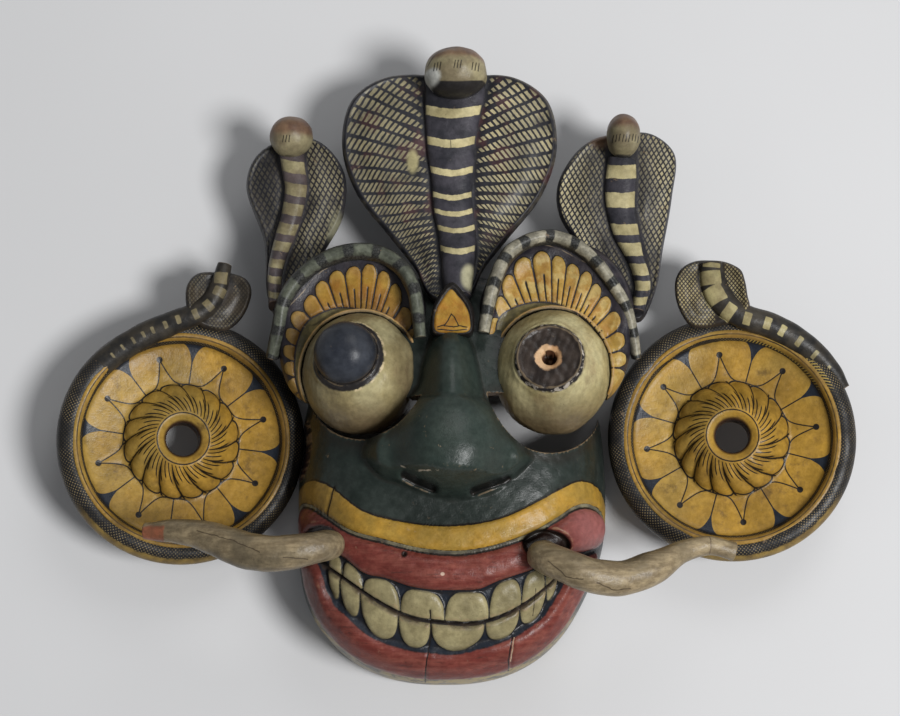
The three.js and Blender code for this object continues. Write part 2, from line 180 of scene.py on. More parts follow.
def addHollows(piece):
    # how sharply the surface bends, per millimetre: above 0 in grooves, below 0 on ridges, 0 on broad forms
    mesh = piece.data
    count = len(mesh.vertices)
    points = np.empty(count * 3)
    mesh.vertices.foreach_get("co", points)
    points = points.reshape(-1, 3) * 1000
    normals = np.empty(count * 3)
    mesh.vertices.foreach_get("normal", normals)
    normals = normals.reshape(-1, 3)
    edges = np.empty(len(mesh.edges) * 2, int)
    mesh.edges.foreach_get("vertices", edges)
    a, b = edges.reshape(-1, 2).T
    degree = np.maximum(np.bincount(a, minlength=count) + np.bincount(b, minlength=count), 1)

    def spread(values):
        return (np.bincount(a, values[b], count) + np.bincount(b, values[a], count)) / degree

    squares = np.sum((points[a] - points[b]) ** 2, axis=1)
    reach = (np.bincount(a, squares, count) + np.bincount(b, squares, count)) / degree
    rounds = 4
    blurred = points.copy()
    for _ in range(rounds):
        blurred = np.stack([spread(blurred[:, axis]) for axis in range(3)], axis=1)
    bend = np.einsum("ij,ij->i", blurred - points, normals) / (rounds * np.maximum(reach, 0.04)) * 2
    bend = np.clip(0.5 * bend + 0.5 * spread(bend), -1, 1)
    broad = bend.copy()
    for _ in range(24):
        broad = spread(broad)
    mesh.attributes.new("hollow", "FLOAT", "POINT").data.foreach_set("value", (bend - broad).astype(np.float32))


def cutterFrom(bm):
    mesh = bpy.data.meshes.new("cutter")
    bmesh.ops.recalc_face_normals(bm, faces=bm.faces)
    bm.to_mesh(mesh)
    bm.free()
    cutter = bpy.data.objects.new("cutter", mesh)
    scene.collection.objects.link(cutter)
    return cutter


def cutAway(piece, cutter):
    # takes the cutter's shape out of the piece and removes the cutter
    cut = piece.modifiers.new("cut", "BOOLEAN")
    cut.operation = "DIFFERENCE"
    cut.solver = "MANIFOLD"
    cut.object = cutter
    graph = bpy.context.evaluated_depsgraph_get()
    mesh = bpy.data.meshes.new_from_object(piece.evaluated_get(graph))
    old = piece.data
    piece.modifiers.clear()
    piece.data = mesh
    mesh.name = piece.name
    bpy.data.meshes.remove(old)
    bpy.data.objects.remove(cutter)


def settle(piece, node, material):
    piece.data.materials.clear()
    piece.data.materials.append(material)
    addHollows(piece)
    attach(piece, "root")
    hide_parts(node)
    print("made", piece.name, len(piece.data.polygons))
    return piece


# Paint helpers

class Paint:
    def __init__(self, name):
        self.material = bpy.data.materials.new(name)
        self.material.use_nodes = True
        self.tree = self.material.node_tree
        self.shader = self.tree.nodes["Principled BSDF"]
        self.place = self.tree.nodes.new("ShaderNodeTexCoord").outputs["Object"]

    def put(self, value, socket):
        if hasattr(value, "links"):
            self.tree.links.new(value, socket)
        elif isinstance(value, tuple) and len(value) == 3 and socket.type == "RGBA":
            socket.default_value = (*value, 1)
        else:
            socket.default_value = value

    def field(self, name):
        node = self.tree.nodes.new("ShaderNodeAttribute")
        node.attribute_name = name
        return node.outputs["Fac"]

    def spot(self):
        # the carver's x and y, in millimetres
        node = self.tree.nodes.new("ShaderNodeSeparateXYZ")
        self.tree.links.new(self.place, node.inputs[0])
        return [self.sum("MULTIPLY_ADD", node.outputs[i], 1000.0, float(rowShift[i])) for i in (0, 1)]

    def sum(self, operation, first, second=0.0, third=0.0):
        node = self.tree.nodes.new("ShaderNodeMath")
        node.operation = operation
        for value, socket in zip((first, second, third), node.inputs):
            self.put(value, socket)
        return node.outputs[0]

    def add(self, first, second):
        return self.sum("ADD", first, second)

    def times(self, first, *others):
        for other in others:
            first = self.sum("MULTIPLY", first, other)
        return first

    def least(self, first, second):
        return self.sum("MINIMUM", first, second)

    def most(self, first, second):
        return self.sum("MAXIMUM", first, second)

    def size(self, value):
        return self.sum("ABSOLUTE", value)

    def length(self, x, y):
        return self.sum("SQRT", self.sum("MULTIPLY_ADD", x, x, self.times(y, y)))

    def ramp(self, value, low, high, start=0.0, end=1.0):
        node = self.tree.nodes.new("ShaderNodeMapRange")
        node.interpolation_type = "SMOOTHSTEP"
        for number, socket in zip((value, low, high, start, end), node.inputs):
            self.put(number, socket)
        return node.outputs["Result"]

    def fromMiddle(self, value):
        # 0 in the middle of each whole step of the value, 1 where two steps meet
        return self.times(self.size(self.add(self.sum("FRACT", value), -0.5)), 2)

    def line(self, value, half, soft=0.22):
        # 1 along a painted line where the value is 0
        return self.ramp(self.size(value), half + soft, half - soft)

    def stroke(self, x, y, points, half, soft=0.22):
        # 1 along a brush stroke, chip or crack through the points
        nearest = None
        for start, end in zip(points, points[1:]):
            runX, runY = end[0] - start[0], end[1] - start[1]
            span = runX ** 2 + runY ** 2
            offX, offY = self.add(x, -start[0]), self.add(y, -start[1])
            along = self.sum("MULTIPLY_ADD", offX, runX / span, self.times(offY, runY / span))
            along = self.most(self.least(along, 1.0), 0.0)
            gap = self.length(self.sum("MULTIPLY_ADD", along, -runX, offX), self.sum("MULTIPLY_ADD", along, -runY, offY))
            nearest = gap if nearest is None else self.least(nearest, gap)
        return self.ramp(nearest, half + soft, half - soft)

    def patch(self, x, y, at, radii, soft=0.35):
        # 1 in an oval patch, fading out over its edge
        far = self.length(self.times(self.add(x, -at[0]), 1 / radii[0]), self.times(self.add(y, -at[1]), 1 / radii[1]))
        return self.ramp(far, 1 + soft, 1 - soft)

    def noise(self, scale, detail=3.0, roughness=0.55, stretch=(1, 1, 1), shift=0.0):
        mapping = self.tree.nodes.new("ShaderNodeMapping")
        mapping.inputs["Scale"].default_value = stretch
        mapping.inputs["Location"].default_value = (shift, shift * 0.7, shift * 0.3)
        self.tree.links.new(self.place, mapping.inputs["Vector"])
        node = self.tree.nodes.new("ShaderNodeTexNoise")
        node.inputs["Scale"].default_value = scale
        node.inputs["Detail"].default_value = detail
        node.inputs["Roughness"].default_value = roughness
        self.tree.links.new(mapping.outputs[0], node.inputs["Vector"])
        return node.outputs[0]

    def waver(self, scale, by, detail=3.0):
        # an uneven hand: about -by to by
        return self.times(self.add(self.noise(scale, detail), -0.5), by * 3)

    def cells(self, scale, feature="DISTANCE_TO_EDGE"):
        node = self.tree.nodes.new("ShaderNodeTexVoronoi")
        node.feature = feature
        node.inputs["Scale"].default_value = scale
        self.tree.links.new(self.place, node.inputs["Vector"])
        return node.outputs["Distance"]

    def mix(self, factor, under, over, blend="MIX"):
        node = self.tree.nodes.new("ShaderNodeMix")
        node.data_type = "RGBA"
        node.blend_type = blend
        self.put(factor, node.inputs[0])
        self.put(under, node.inputs[6])
        self.put(over, node.inputs[7])
        return node.outputs[2]

    def mottled(self, scale, first, second, detail=4.0, shift=0.0):
        return self.mix(self.ramp(self.noise(scale, detail, shift=shift), 0.36, 0.64), first, second)

    def grey(self, value):
        node = self.tree.nodes.new("ShaderNodeCombineColor")
        for socket in node.inputs[:3]:
            self.put(value, socket)
        return node.outputs[0]

    def finish(self, colour, wear=0.4, grime=0.6, gloss=0.42, wood=(0.30, 0.20, 0.11), dirt=(0.016, 0.012, 0.009), relief=1.0):
        # ages a painted colour: uneven tone, dirt in the grooves, rubbed ridges, chips and pits
        hollow = self.field("hollow")
        broad = self.noise(26, 4)
        fine = self.noise(260, 4, 0.65)
        specks = self.noise(900, 2, 0.7)
        colour = self.mix(1.0, colour, self.grey(self.ramp(broad, 0.3, 0.7, 0.78, 1.12)), "MULTIPLY")
        colour = self.mix(1.0, colour, self.grey(self.ramp(fine, 0.3, 0.7, 0.84, 1.12)), "MULTIPLY")
        ridge = self.sum("MULTIPLY_ADD", hollow, -1.0, self.times(self.add(fine, -0.5), 0.45))
        rubbed = self.ramp(ridge, 0.13, 0.27, 0.0, wear)
        chips = self.ramp(self.noise(120, 6, 0.72, shift=3.1), 0.655, 0.68, 0.0, wear)
        rubbed = self.most(rubbed, chips)
        colour = self.mix(rubbed, colour, wood)
        dirty = self.ramp(self.add(hollow, self.times(self.add(broad, -0.5), 0.3)), 0.03, 0.24, 0.0, grime)
        colour = self.mix(dirty, colour, dirt)
        colour = self.mix(self.ramp(specks, 0.66, 0.74, 0.0, 0.5), colour, dirt)
        self.put(colour, self.shader.inputs["Base Color"])
        self.shader.inputs["Specular IOR Level"].default_value = 0.22
        self.put(self.ramp(self.add(self.times(fine, 0.7), self.times(rubbed, 0.3)), 0.2, 0.75, gloss - 0.08, gloss + 0.2),
                 self.shader.inputs["Roughness"])
        height = self.add(self.times(fine, 0.9), self.times(specks, 0.3))
        height = self.add(height, self.times(rubbed, -0.5))
        bump = self.tree.nodes.new("ShaderNodeBump")
        bump.inputs["Strength"].default_value = 0.5 * relief
        bump.inputs["Distance"].default_value = 0.0006
        self.put(height, bump.inputs["Height"])
        self.put(bump.outputs[0], self.shader.inputs["Normal"])
        return self.material


colours = {
    "green": (0.015, 0.021, 0.018),
    "yellow": (0.36, 0.205, 0.030),
    "orange": (0.29, 0.13, 0.018),
    "red": (0.125, 0.026, 0.020),
    "cream": (0.29, 0.25, 0.132),
    "charcoal": (0.019, 0.019, 0.023),
    "navy": (0.013, 0.017, 0.025),
    "line": (0.011, 0.009, 0.008),
    "brown": (0.10, 0.055, 0.032),
}


# The face

face = {
    "halfWidth": 97, "widestY": -62, "topY": 84, "chinY": -175, "depth": 88, "squareness": 2.4, "wall": 13, "jawLean": -5,
    "bandRelief": 2.2, "lipRelief": 5.0, "toothRelief": 2.6, "jawRadius": 88,
    "upperTeeth": [-58, -48.5, -37.4, -20.6, -2.7, 14.6, 28.3, 39.5, 50],  # where one tooth meets the next, degrees round the jaw
    "lowerTeeth": [-60, -51, -39.2, -21.6, -8.3, 13.2, 28, 40.8, 47, 56],
    "lipBottom": 0.95,  # share of the outline where the lower lip ends
    "cracks": [[(-13, -130), (-12.5, -143), (-15.5, -162), (-16.5, -173)], [(36, -146), (34, -160), (34.5, -166)],
               [(-71, -56), (-75, -73)]],
    "toothCracks": [[(50, -117), (48.5, -133)], [(-66, -99), (-66.5, -112)]],
}

bandTop = lineThrough([(-97, -56), (-90, -52), (-84, -51), (-76, -54), (-55, -70), (-28, -78), (5, -80), (31, -75), (52, -65),
                       (66, -57), (79, -52), (91, -57), (97, -66)])
bandBottom = lineThrough([(-97, -68), (-91, -64.5), (-85, -66), (-77, -71.5), (-63, -81), (-41, -88), (-15, -94), (5, -95), (31, -90),
                          (51, -82), (64, -74), (74, -67.5), (84, -66), (92, -71), (97, -80)])
upperLipEnd = lineThrough([(-97, -92), (-84, -91), (-74, -93), (-64.4, -98.5), (-53, -107.4), (-38.6, -111), (-26, -115.4),
                           (-12, -117.7), (2, -118), (16.5, -117.2), (27, -112.7), (38, -109), (49, -105), (62, -97), (80, -94),
                           (90, -90), (97, -84)])
slitLine = lineThrough([(-97, -92), (-84, -98), (-71, -107), (-44, -125), (-26, -134), (-5, -137.4), (18, -137), (41, -128),
                        (58, -115), (70, -103), (84, -96), (97, -92)])
lowerLipStart = lineThrough([(-97, -92), (-86, -97), (-79, -105), (-75, -118), (-62, -134), (-46, -146.5), (-30, -152.5),
                             (-14, -154.5), (2, -155.4), (18, -152), (35, -146.5), (45, -141), (56, -132), (63, -121),
                             (70, -108), (82, -97), (97, -92)])


def leanAt(y):
    return face["jawLean"] * eased((-y - 75) / 60)


def faceShare(x, y):
    reach = np.where(y > face["widestY"], face["topY"] - face["widestY"], face["widestY"] - face["chinY"])
    across = np.abs(x - leanAt(y)) / face["halfWidth"]
    along = np.abs(y - face["widestY"]) / reach
    return (across ** face["squareness"] + along ** face["squareness"]) ** (1 / face["squareness"])


def domed(share):
    return np.maximum(0, 1 - np.clip(share, 0, 1) ** 3.6) ** 0.4


def facePlan(turn, share, inset=0):
    angle = turn * 2 * math.pi
    power = 2 / face["squareness"]
    sine, cosine = np.sin(angle), np.cos(angle)
    reach = np.where(sine > 0, face["topY"] - face["widestY"], face["widestY"] - face["chinY"]) - inset
    y = face["widestY"] + share * reach * np.sign(sine) * np.abs(sine) ** power
    x = share * (face["halfWidth"] - inset) * np.sign(cosine) * np.abs(cosine) ** power + leanAt(y)
    return x, y


nose = {
    "left": [(-62, -38), (-49, -46), (-44, -48.8), (-34, -50), (-24, -45), (-15, -38.6), (-7, -30.5), (-0.5, -23.7), (5, -20.5),
             (14, -18.8), (23, -16.4), (33, -12), (44, -9)],
    "right": [(-62, 38), (-53, 41), (-46.6, 43), (-40.5, 45), (-29.5, 39.5), (-16, 28), (-6, 21), (3, 18.5), (14, 16.4),
              (23, 13.9), (32, 9.5), (44, 7)],
    "bridgeTop": [(-60, 122), (-20, 119), (-5, 116), (5, 113.5), (20, 108), (30, 101), (36, 93), (44, 84)],
    "bulbHalf": [(-60, 27), (-50, 28), (-40, 31), (-30, 31), (-20, 29), (-10, 24), (0, 15)],
    "bulbTop": [(-60, 127), (-48, 128.5), (-40, 130), (-25, 128), (-12, 122.5), (-6, 117.5), (0, 108)],
    "wingTop": [(-60, 107), (-50, 108), (-40, 111), (-25, 108), (-10, 101), (5, 96), (20, 92), (44, 80)],
    "nostrils": [[(-28.5, -50.5), (-21, -54.5)], [(-21, -54.5), (-11, -58.5)], [(12.5, -60), (22, -56.5)], [(22, -56.5), (33.5, -52.5)]],
}
noseLines = {key: lineThrough(points) for key, points in nose.items() if key != "nostrils"}
noseBase = lineThrough([(-52, -40), (-45, -49), (-32, -55.5), (-7.5, -64.4), (12.6, -64.4), (30, -58), (42, -47), (50, -38)])


def noseHeight(x, y):
    left, right = noseLines["left"](y), noseLines["right"](y)
    middle, half = (left + right) / 2, (right - left) / 2
    across = np.abs(x - middle) / half
    bridge = noseLines["bridgeTop"](y) - 30 * np.clip(np.abs(x + 1) / (15 + 0.12 * (30 - y)), 0, 2) ** 2.2
    bulbAcross = np.clip(np.abs(x + 1.5) / noseLines["bulbHalf"](y), 0, 1.6)
    bulb = noseLines["bulbTop"](y) - 20 * bulbAcross ** 2.6 - 60 * eased((y + 6) / 10)
    wings = noseLines["wingTop"](y) - 9 * np.clip(across, 0, 1) ** 3 - 26 * np.clip(across - 0.86, 0, 0.6) ** 1.3 * half / 9
    wings = np.where(across < 1.5, wings, 0)
    whole = softMax(softMax(bridge, bulb, 5), wings, 9)
    whole = np.where(across < 1.25, whole, 0) - 30 * eased((y - 36) / 9)
    under = 86 + 2.6 * (y - noseBase(x))
    return -softMax(-whole, -under, 1.6)


def toothInside(x, y, borders, start, end):
    # how far inside its nearest tooth a point lies; start is the biting edge and end the gum
    turn = np.degrees(np.arcsin(np.clip(x / face["jawRadius"], -0.999, 0.999)))
    borders = np.array(borders)
    i = np.clip(np.searchsorted(borders, turn) - 1, 0, len(borders) - 2)
    half = (borders[i + 1] - borders[i]) / 2
    across = np.abs(turn - borders[i] - half) / half
    wide = half * math.pi / 180 * face["jawRadius"] * np.cos(np.radians(turn))
    tall = np.abs(end - start)
    up = (y - start) / (end - start)
    outline = (across ** 2.8 + np.clip(up, 0, 2) ** 2.8) ** (1 / 2.8)
    inside = (1 - outline) * np.minimum(wide, tall * 0.7)
    return np.minimum(inside, up * tall)


def placeFace(unit):
    turn, rise = turnAndRise(unit)
    # more of the mesh goes to the mouth and to the front
    turn = np.mod(turn + 0.45 / (2 * math.pi) * (np.sin(2 * math.pi * (turn - 0.25)) + 1), 1)
    rise = np.where(rise < 0.24, rise / 0.48, 0.5 + (rise - 0.24) / 1.52)
    front = rise >= 0.5
    share = np.where(front, np.sin((1 - rise) * math.pi) ** 0.92, np.sin(rise * math.pi))
    outX, outY = facePlan(turn, share)
    inX, inY = facePlan(turn, share, face["wall"])
    x = np.where(front, outX, inX)
    y = np.where(front, outY, inY)
    # the back goes from the rim into the hollow
    z = np.where(front, face["depth"], face["depth"] - face["wall"] - 3) * domed(share)
    points = np.stack([x, y, z], axis=1)

    step = 0.6
    slopeX = face["depth"] * (domed(faceShare(x + step, y)) - domed(faceShare(x - step, y))) / (2 * step)
    slopeY = face["depth"] * (domed(faceShare(x, y + step)) - domed(faceShare(x, y - step))) / (2 * step)
    normal = unitVectors(np.stack([-slopeX, -slopeY, np.ones_like(x)], axis=1))
    flatness = eased((normal[:, 2] - 0.12) / 0.3)  # steep walls are not pushed sideways

    bandIn = np.minimum(bandTop(x) - y, y - bandBottom(x))
    upperIn = np.minimum(bandBottom(x) - 3.0 - y, y - upperLipEnd(x))
    wallLeft = (z - face["depth"] * domed(np.array([face["lipBottom"]]))[0]) * 0.7
    lowerIn = np.minimum.reduce([lowerLipStart(x) - y, wallLeft, -86 - y])
    mouthIn = np.minimum(upperLipEnd(x) - y, y - lowerLipStart(x))
    upperTooth = toothInside(x, y, face["upperTeeth"], slitLine(x) + 0.6, upperLipEnd(x) - 0.8)
    lowerTooth = toothInside(x, y, face["lowerTeeth"], slitLine(x) - 1.6, lowerLipStart(x) + 0.6)
    slitSide = y - slitLine(x) + 0.4

    relief = face["bandRelief"] * roundedRise(bandIn, 3.5)
    relief += face["lipRelief"] * (roundedRise(upperIn, 9) + roundedRise(lowerIn, 8))
    gum = eased(mouthIn / 2)
    relief += gum * (-1.8 + face["toothRelief"] * roundedRise(np.maximum(upperTooth, lowerTooth), 3.4))
    relief -= gum * (1.1 * eased(-slitSide / 2) + 3.4 * bell(slitSide, 1.0))
    crack = np.full(len(x), 9.0)
    for route in face["cracks"]:
        for start, end in zip(route, route[1:]):
            crack = np.minimum(crack, nearSegment(x, y, start, end))
    relief -= 0.8 * bell(crack, 0.8)
    relief -= 2.0 * (np.hypot(x + 28.3, y + 97) < 1.3)
    relief += 0.35 * handWaver(points, 34, 3) + 0.14 * handWaver(points, 9, 4)
    relief = np.where(front, relief, 0.25 * handWaver(points, 14, 5))
    points += normal * (relief * np.where(front, eased(z / 14) * flatness, -1))[:, None]

    nostril = np.zeros_like(x)
    for start, end in nose["nostrils"]:
        nostril = np.maximum(nostril, np.exp(-(nearSegment(x, y, start, end) / 2.5) ** 3))
    lifted = softMax(points[:, 2], noseHeight(x, y) - 8 * nostril, 3.5)
    noseIn = np.clip(lifted - points[:, 2], 0, 20)
    points[:, 2] = np.where(front, lifted + 0.35 * handWaver(points, 24, 8) * eased(noseIn / 6), points[:, 2])

    # the recesses the tusks stand in
    hole = np.zeros_like(x)
    for at, radii in (((55, -91), (13, 9)), ((-77, -87), (9, 8))):
        hole = np.maximum(hole, eased((1.15 - np.hypot((x - at[0]) / radii[0], (y - at[1]) / radii[1])) / 0.3))
    points[:, 2] -= np.where(front, 9 * hole, 0)

    fields = {
        "bandIn": bandIn, "upperIn": upperIn, "lowerIn": lowerIn, "mouthIn": mouthIn, "upperTooth": upperTooth,
        "lowerTooth": lowerTooth, "slitSide": slitSide, "nostril": nostril, "hole": hole, "noseIn": noseIn, "high": points[:, 2],
        "rimIn": np.where(front, wallLeft, -20), "inside": np.where(front, 0.0, 1.0),
    }
    return points, fields


def facePaint():
    paint = Paint("face paint")
    x, y = paint.spot()
    waver = paint.waver(420, 0.35)

    def inside(name, by=0.0, soft=0.3):
        return paint.ramp(paint.add(paint.field(name), waver), by - soft, by + soft)

    colour = paint.mottled(60, colours["green"], (0.024, 0.031, 0.027))
    # painted highlight: the raised nose gets a lighter green than the cheeks
    colour = paint.mix(paint.ramp(paint.field("noseIn"), 2.0, 8.0, 0.0, 0.75), colour, paint.mottled(45, (0.024, 0.036, 0.030), (0.036, 0.048, 0.040)))
    colour = paint.mix(inside("bandIn", -0.9), colour, colours["line"])
    yellow = paint.mottled(60, colours["yellow"], (0.29, 0.18, 0.034))
    # painted shade: the yellow band darkens towards the left
    yellow = paint.mix(paint.ramp(x, -40, -95, 0.0, 0.6), yellow, (0.10, 0.065, 0.025))
    yellow = paint.mix(paint.ramp(paint.noise(150, 5, 0.7), 0.56, 0.72, 0.0, 0.6), yellow, (0.22, 0.12, 0.03))
    colour = paint.mix(inside("bandIn", 0.3), colour, yellow)
    under = paint.sum("MULTIPLY", inside("upperIn", -3.0), paint.ramp(paint.field("upperIn"), 0.2, -0.2))
    colour = paint.mix(under, colour, paint.mottled(130, (0.30, 0.27, 0.17), (0.10, 0.095, 0.075)))
    colour = paint.mix(inside("upperIn", -1.2), colour, colours["line"])
    colour = paint.mix(inside("lowerIn", -1.6), colour, colours["line"])
    streaks = paint.ramp(paint.noise(150, 5, 0.7, (0.28, 1.7, 1)), 0.38, 0.66)
    red = paint.mix(streaks, colours["red"], (0.19, 0.055, 0.040))
    red = paint.mix(paint.ramp(paint.noise(200, 5, 0.7, (0.3, 1.6, 1), 4), 0.56, 0.68, 0.0, 0.7), red, (0.06, 0.022, 0.018))
    # painted shade: the lips darken towards the left
    red = paint.mix(paint.ramp(x, -45, -90, 0.0, 0.45), red, (0.07, 0.022, 0.018))
    red = paint.mix(paint.patch(x, y, (88, -78), (16, 16), 0.6), red, (0.27, 0.095, 0.088))
    colour = paint.mix(paint.most(inside("upperIn"), inside("lowerIn")), colour, red)
    below = paint.ramp(paint.add(paint.field("rimIn"), waver), -1.2, -2.0)
    below = paint.times(below, paint.ramp(y, -126, -138), paint.ramp(paint.field("inside"), 0.6, 0.4))
    chin = paint.mix(paint.ramp(paint.noise(110, 5, 0.7), 0.44, 0.58), (0.33, 0.25, 0.11), (0.09, 0.085, 0.07))
    colour = paint.mix(below, colour, chin)
    colour = paint.mix(inside("mouthIn"), colour, colours["navy"])
    cream = paint.mottled(70, colours["cream"], (0.22, 0.185, 0.095))
    tooth = paint.most(paint.field("upperTooth"), paint.field("lowerTooth"))
    tooth = paint.ramp(paint.add(tooth, paint.times(waver, 0.35)), 0.15, 0.6)
    colour = paint.mix(paint.times(tooth, inside("mouthIn", 0.1)), colour, cream)
    slitSide = paint.add(paint.field("slitSide"), paint.times(waver, 0.6))
    # painted shade and dirt: the lower teeth just below the slit are darkened brown
    slitShadeAndDirt = paint.times(paint.ramp(slitSide, -4.6, -1.8), paint.ramp(slitSide, 0.2, -0.4), inside("mouthIn", 0.5))
    colour = paint.mix(paint.times(slitShadeAndDirt, paint.ramp(paint.noise(110, 5), 0.35, 0.6, 0.35, 0.85)), colour, (0.05, 0.034, 0.024))
    colour = paint.mix(paint.times(paint.line(slitSide, 0.9), inside("mouthIn", 0.3)), colour, (0.006, 0.005, 0.005))
    thin = paint.add(x, paint.waver(300, 0.4))
    for route in face["cracks"]:
        colour = paint.mix(paint.stroke(thin, y, route, 0.42), colour, (0.008, 0.006, 0.005))
    for route in face["toothCracks"]:
        colour = paint.mix(paint.stroke(thin, y, route, 0.22), colour, (0.02, 0.014, 0.01))
    colour = paint.mix(paint.stroke(thin, y, [(37.2, -146), (35.4, -160)], 0.3), colour, (0.40, 0.30, 0.2))
    # painted shade: the nostril hollows are darkened nearly black
    colour = paint.mix(paint.ramp(paint.field("nostril"), 0.35, 0.85, 0.0, 0.92), colour, (0.005, 0.005, 0.005))
    # painted shade: a small pit in the upper lip is darkened
    colour = paint.mix(paint.patch(x, y, (-28.3, -97), (1.9, 1.9)), colour, (0.018, 0.009, 0.007))
    colour = paint.mix(paint.patch(x, y, (-5.6, -108.8), (1.2, 1.0)), colour, (0.5, 0.36, 0.28))
    # painted shade and grime: the recesses round the tusk roots are darkened nearly black
    colour = paint.mix(paint.ramp(paint.field("hole"), 0.1, 0.55, 0.0, 0.96), colour, (0.007, 0.005, 0.004))
    chips = paint.stroke(paint.add(x, waver), paint.add(y, waver), [(-30, -46.5), (-20, -49.5), (-8, -50)], 0.35)
    colour = paint.mix(paint.times(chips, paint.ramp(paint.noise(300, 3), 0.48, 0.56)), colour, (0.3, 0.26, 0.2))
    # painted shade: the low parts of the upper face, round the eyes, are darkened
    low = paint.ramp(paint.field("high"), 70, 30, 0.0, 0.7)
    colour = paint.mix(paint.times(low, paint.ramp(y, -50, -20)), colour, (0.01, 0.012, 0.011))
    colour = paint.mix(paint.field("inside"), colour, (0.10, 0.062, 0.035))
    return paint.finish(colour, wear=0.4, grime=0.55, gloss=0.36)


eyes = {
    "left": {"at": (-56, 13, 72), "radii": (35, 37, 36), "gaze": (-9, 10, 43), "slitDrop": 1, "slitTop": -3},
    "right": {"at": (61, 14, 72), "radii": (35, 38, 36), "gaze": (-4, 6, 40), "slitDrop": 9, "slitTop": 0},
    "seatRadius": 20, "seatReach": 33.5, "holeRadius": 4.2, "holeDepth": 12,
}


def slitCutter(eye):
    # the see-through crescent below an eyeball
    bm = bmesh.new()
    bmesh.ops.create_cone(bm, cap_ends=True, segments=96, radius1=1, radius2=1, depth=0.2)
    bmesh.ops.scale(bm, vec=((eye["radii"][0] + 2) / 1000, (eye["radii"][1] + 3) / 1000, 1), verts=bm.verts)
    middle = toRow(np.array([[eye["at"][0] - math.copysign(3, eye["at"][0]), eye["at"][1] - eye["slitDrop"], 100]]))[0]
    bmesh.ops.translate(bm, vec=middle, verts=bm.verts)
    top = toRow(np.array([[0, eye["slitTop"], 0]]))[0]
    everything = list(bm.verts) + list(bm.edges) + list(bm.faces)
    bmesh.ops.bisect_plane(bm, geom=everything, plane_co=top, plane_no=(0, 1, 0), clear_outer=True)
    bmesh.ops.holes_fill(bm, edges=bm.edges)
    return cutterFrom(bm)


def discCutter(at, tilt, radius, low):
    bm = bmesh.new()
    bmesh.ops.create_cone(bm, cap_ends=True, segments=128, radius1=radius / 1000, radius2=radius / 1000, depth=0.2)
    bmesh.ops.translate(bm, vec=(0, 0, 0.1 + low / 1000), verts=bm.verts)
    bmesh.ops.rotate(bm, cent=(0, 0, 0), matrix=Matrix.Rotation(math.radians(tilt), 3, "Y"), verts=bm.verts)
    bmesh.ops.translate(bm, vec=toRow(np.array([at]))[0], verts=bm.verts)
    return cutterFrom(bm)


ears = {
    "left": {
        "at": (-167.5, -24, 40), "radius": 69, "tilt": 11, "petalTurn": 16,
        "neck": [(-66, 24, -7), (-56, 41, -6), (-38, 57, -3), (-20, 67.5, 0), (-5, 74, 3), (7, 79, 6), (16, 87, 8), (21, 98, 9), (24, 110, 8)],
        "neckWide": [4, 6.5, 8, 8, 8, 7.5, 7, 6, 4.5],
        "hood": [(7, 104), (1, 97), (0, 86), (3, 76), (12, 70), (26, 69), (34, 75), (39, 84), (41, 94), (38, 101), (30, 105), (18, 106)],
        "squares": [(21.2, 100.6, 4.1, 3.8), (20.6, 91.8, 4, 3), (13.9, 83.1, 3.8, 2.4), (6, 77.6, 3.2, 1.9), (-4.5, 74.1, 2.8, 1.5),
                    (-12.2, 70.8, 2.4, 1.3), (-20, 67.4, 2.4, 1.1), (-25.6, 64.6, 2.2, 1), (-31.7, 61, 2.4, 0.9), (-38, 56.6, 2.2, 0.8),
                    (-44, 51.5, 2, 0.7)],
        "bright": 0.35,
    },
    "right": {
        "at": (174, -22, 40), "radius": 69, "tilt": -5, "petalTurn": 7,
        "neck": [(70, 30, -7), (62, 43, -6), (49, 55, -3), (36, 64, 0), (23, 70, 3), (10, 74, 5), (0, 80, 7), (-8, 90, 9), (-11.5, 108, 8)],
        "neckWide": [4, 6, 7.5, 8, 8, 8, 8, 8, 7],
        "hood": [(-30, 105), (-33.5, 98), (-34, 89), (-31.5, 79), (-24, 69), (-8, 69), (6, 73), (12, 80), (11, 87), (9.5, 97), (7, 104),
                 (-2, 109.5), (-12, 111), (-22, 110)],
        "squares": [(-11.1, 106.5, 5.5, 1.6), (-12, 98.3, 6.6, 4.6), (-9.6, 87.5, 6.4, 5.6), (-1, 76.8, 5.4, 3.4), (10.4, 72.4, 4, 2.4),
                    (22.9, 69.6, 3.8, 2.2), (32, 65.2, 3.6, 2), (42.4, 58.6, 3.4, 1.8), (52, 50.5, 3, 1.4), (60, 42, 2.6, 1.1)],
        "bright": 0.85,
    },
    "tube": 8, "ringDepth": 7, "hubRadius": 35, "hubHeight": 9, "lipRadius": 15.5, "holeRadius": 10.5, "flutes": 16,
}

faceCarving = carve("face_carving", ball(500, 180), placeFace)
for side in ("left", "right"):
    ear = ears[side]
    cutAway(faceCarving, slitCutter(eyes[side]))
    cutAway(faceCarving, discCutter(ear["at"], ear["tilt"], ear["radius"] + ears["tube"] + 0.4, -17))
settle(faceCarving, "face", facePaint())


# The brows: a fan of petals round each eye, and the banded snake that lies over it

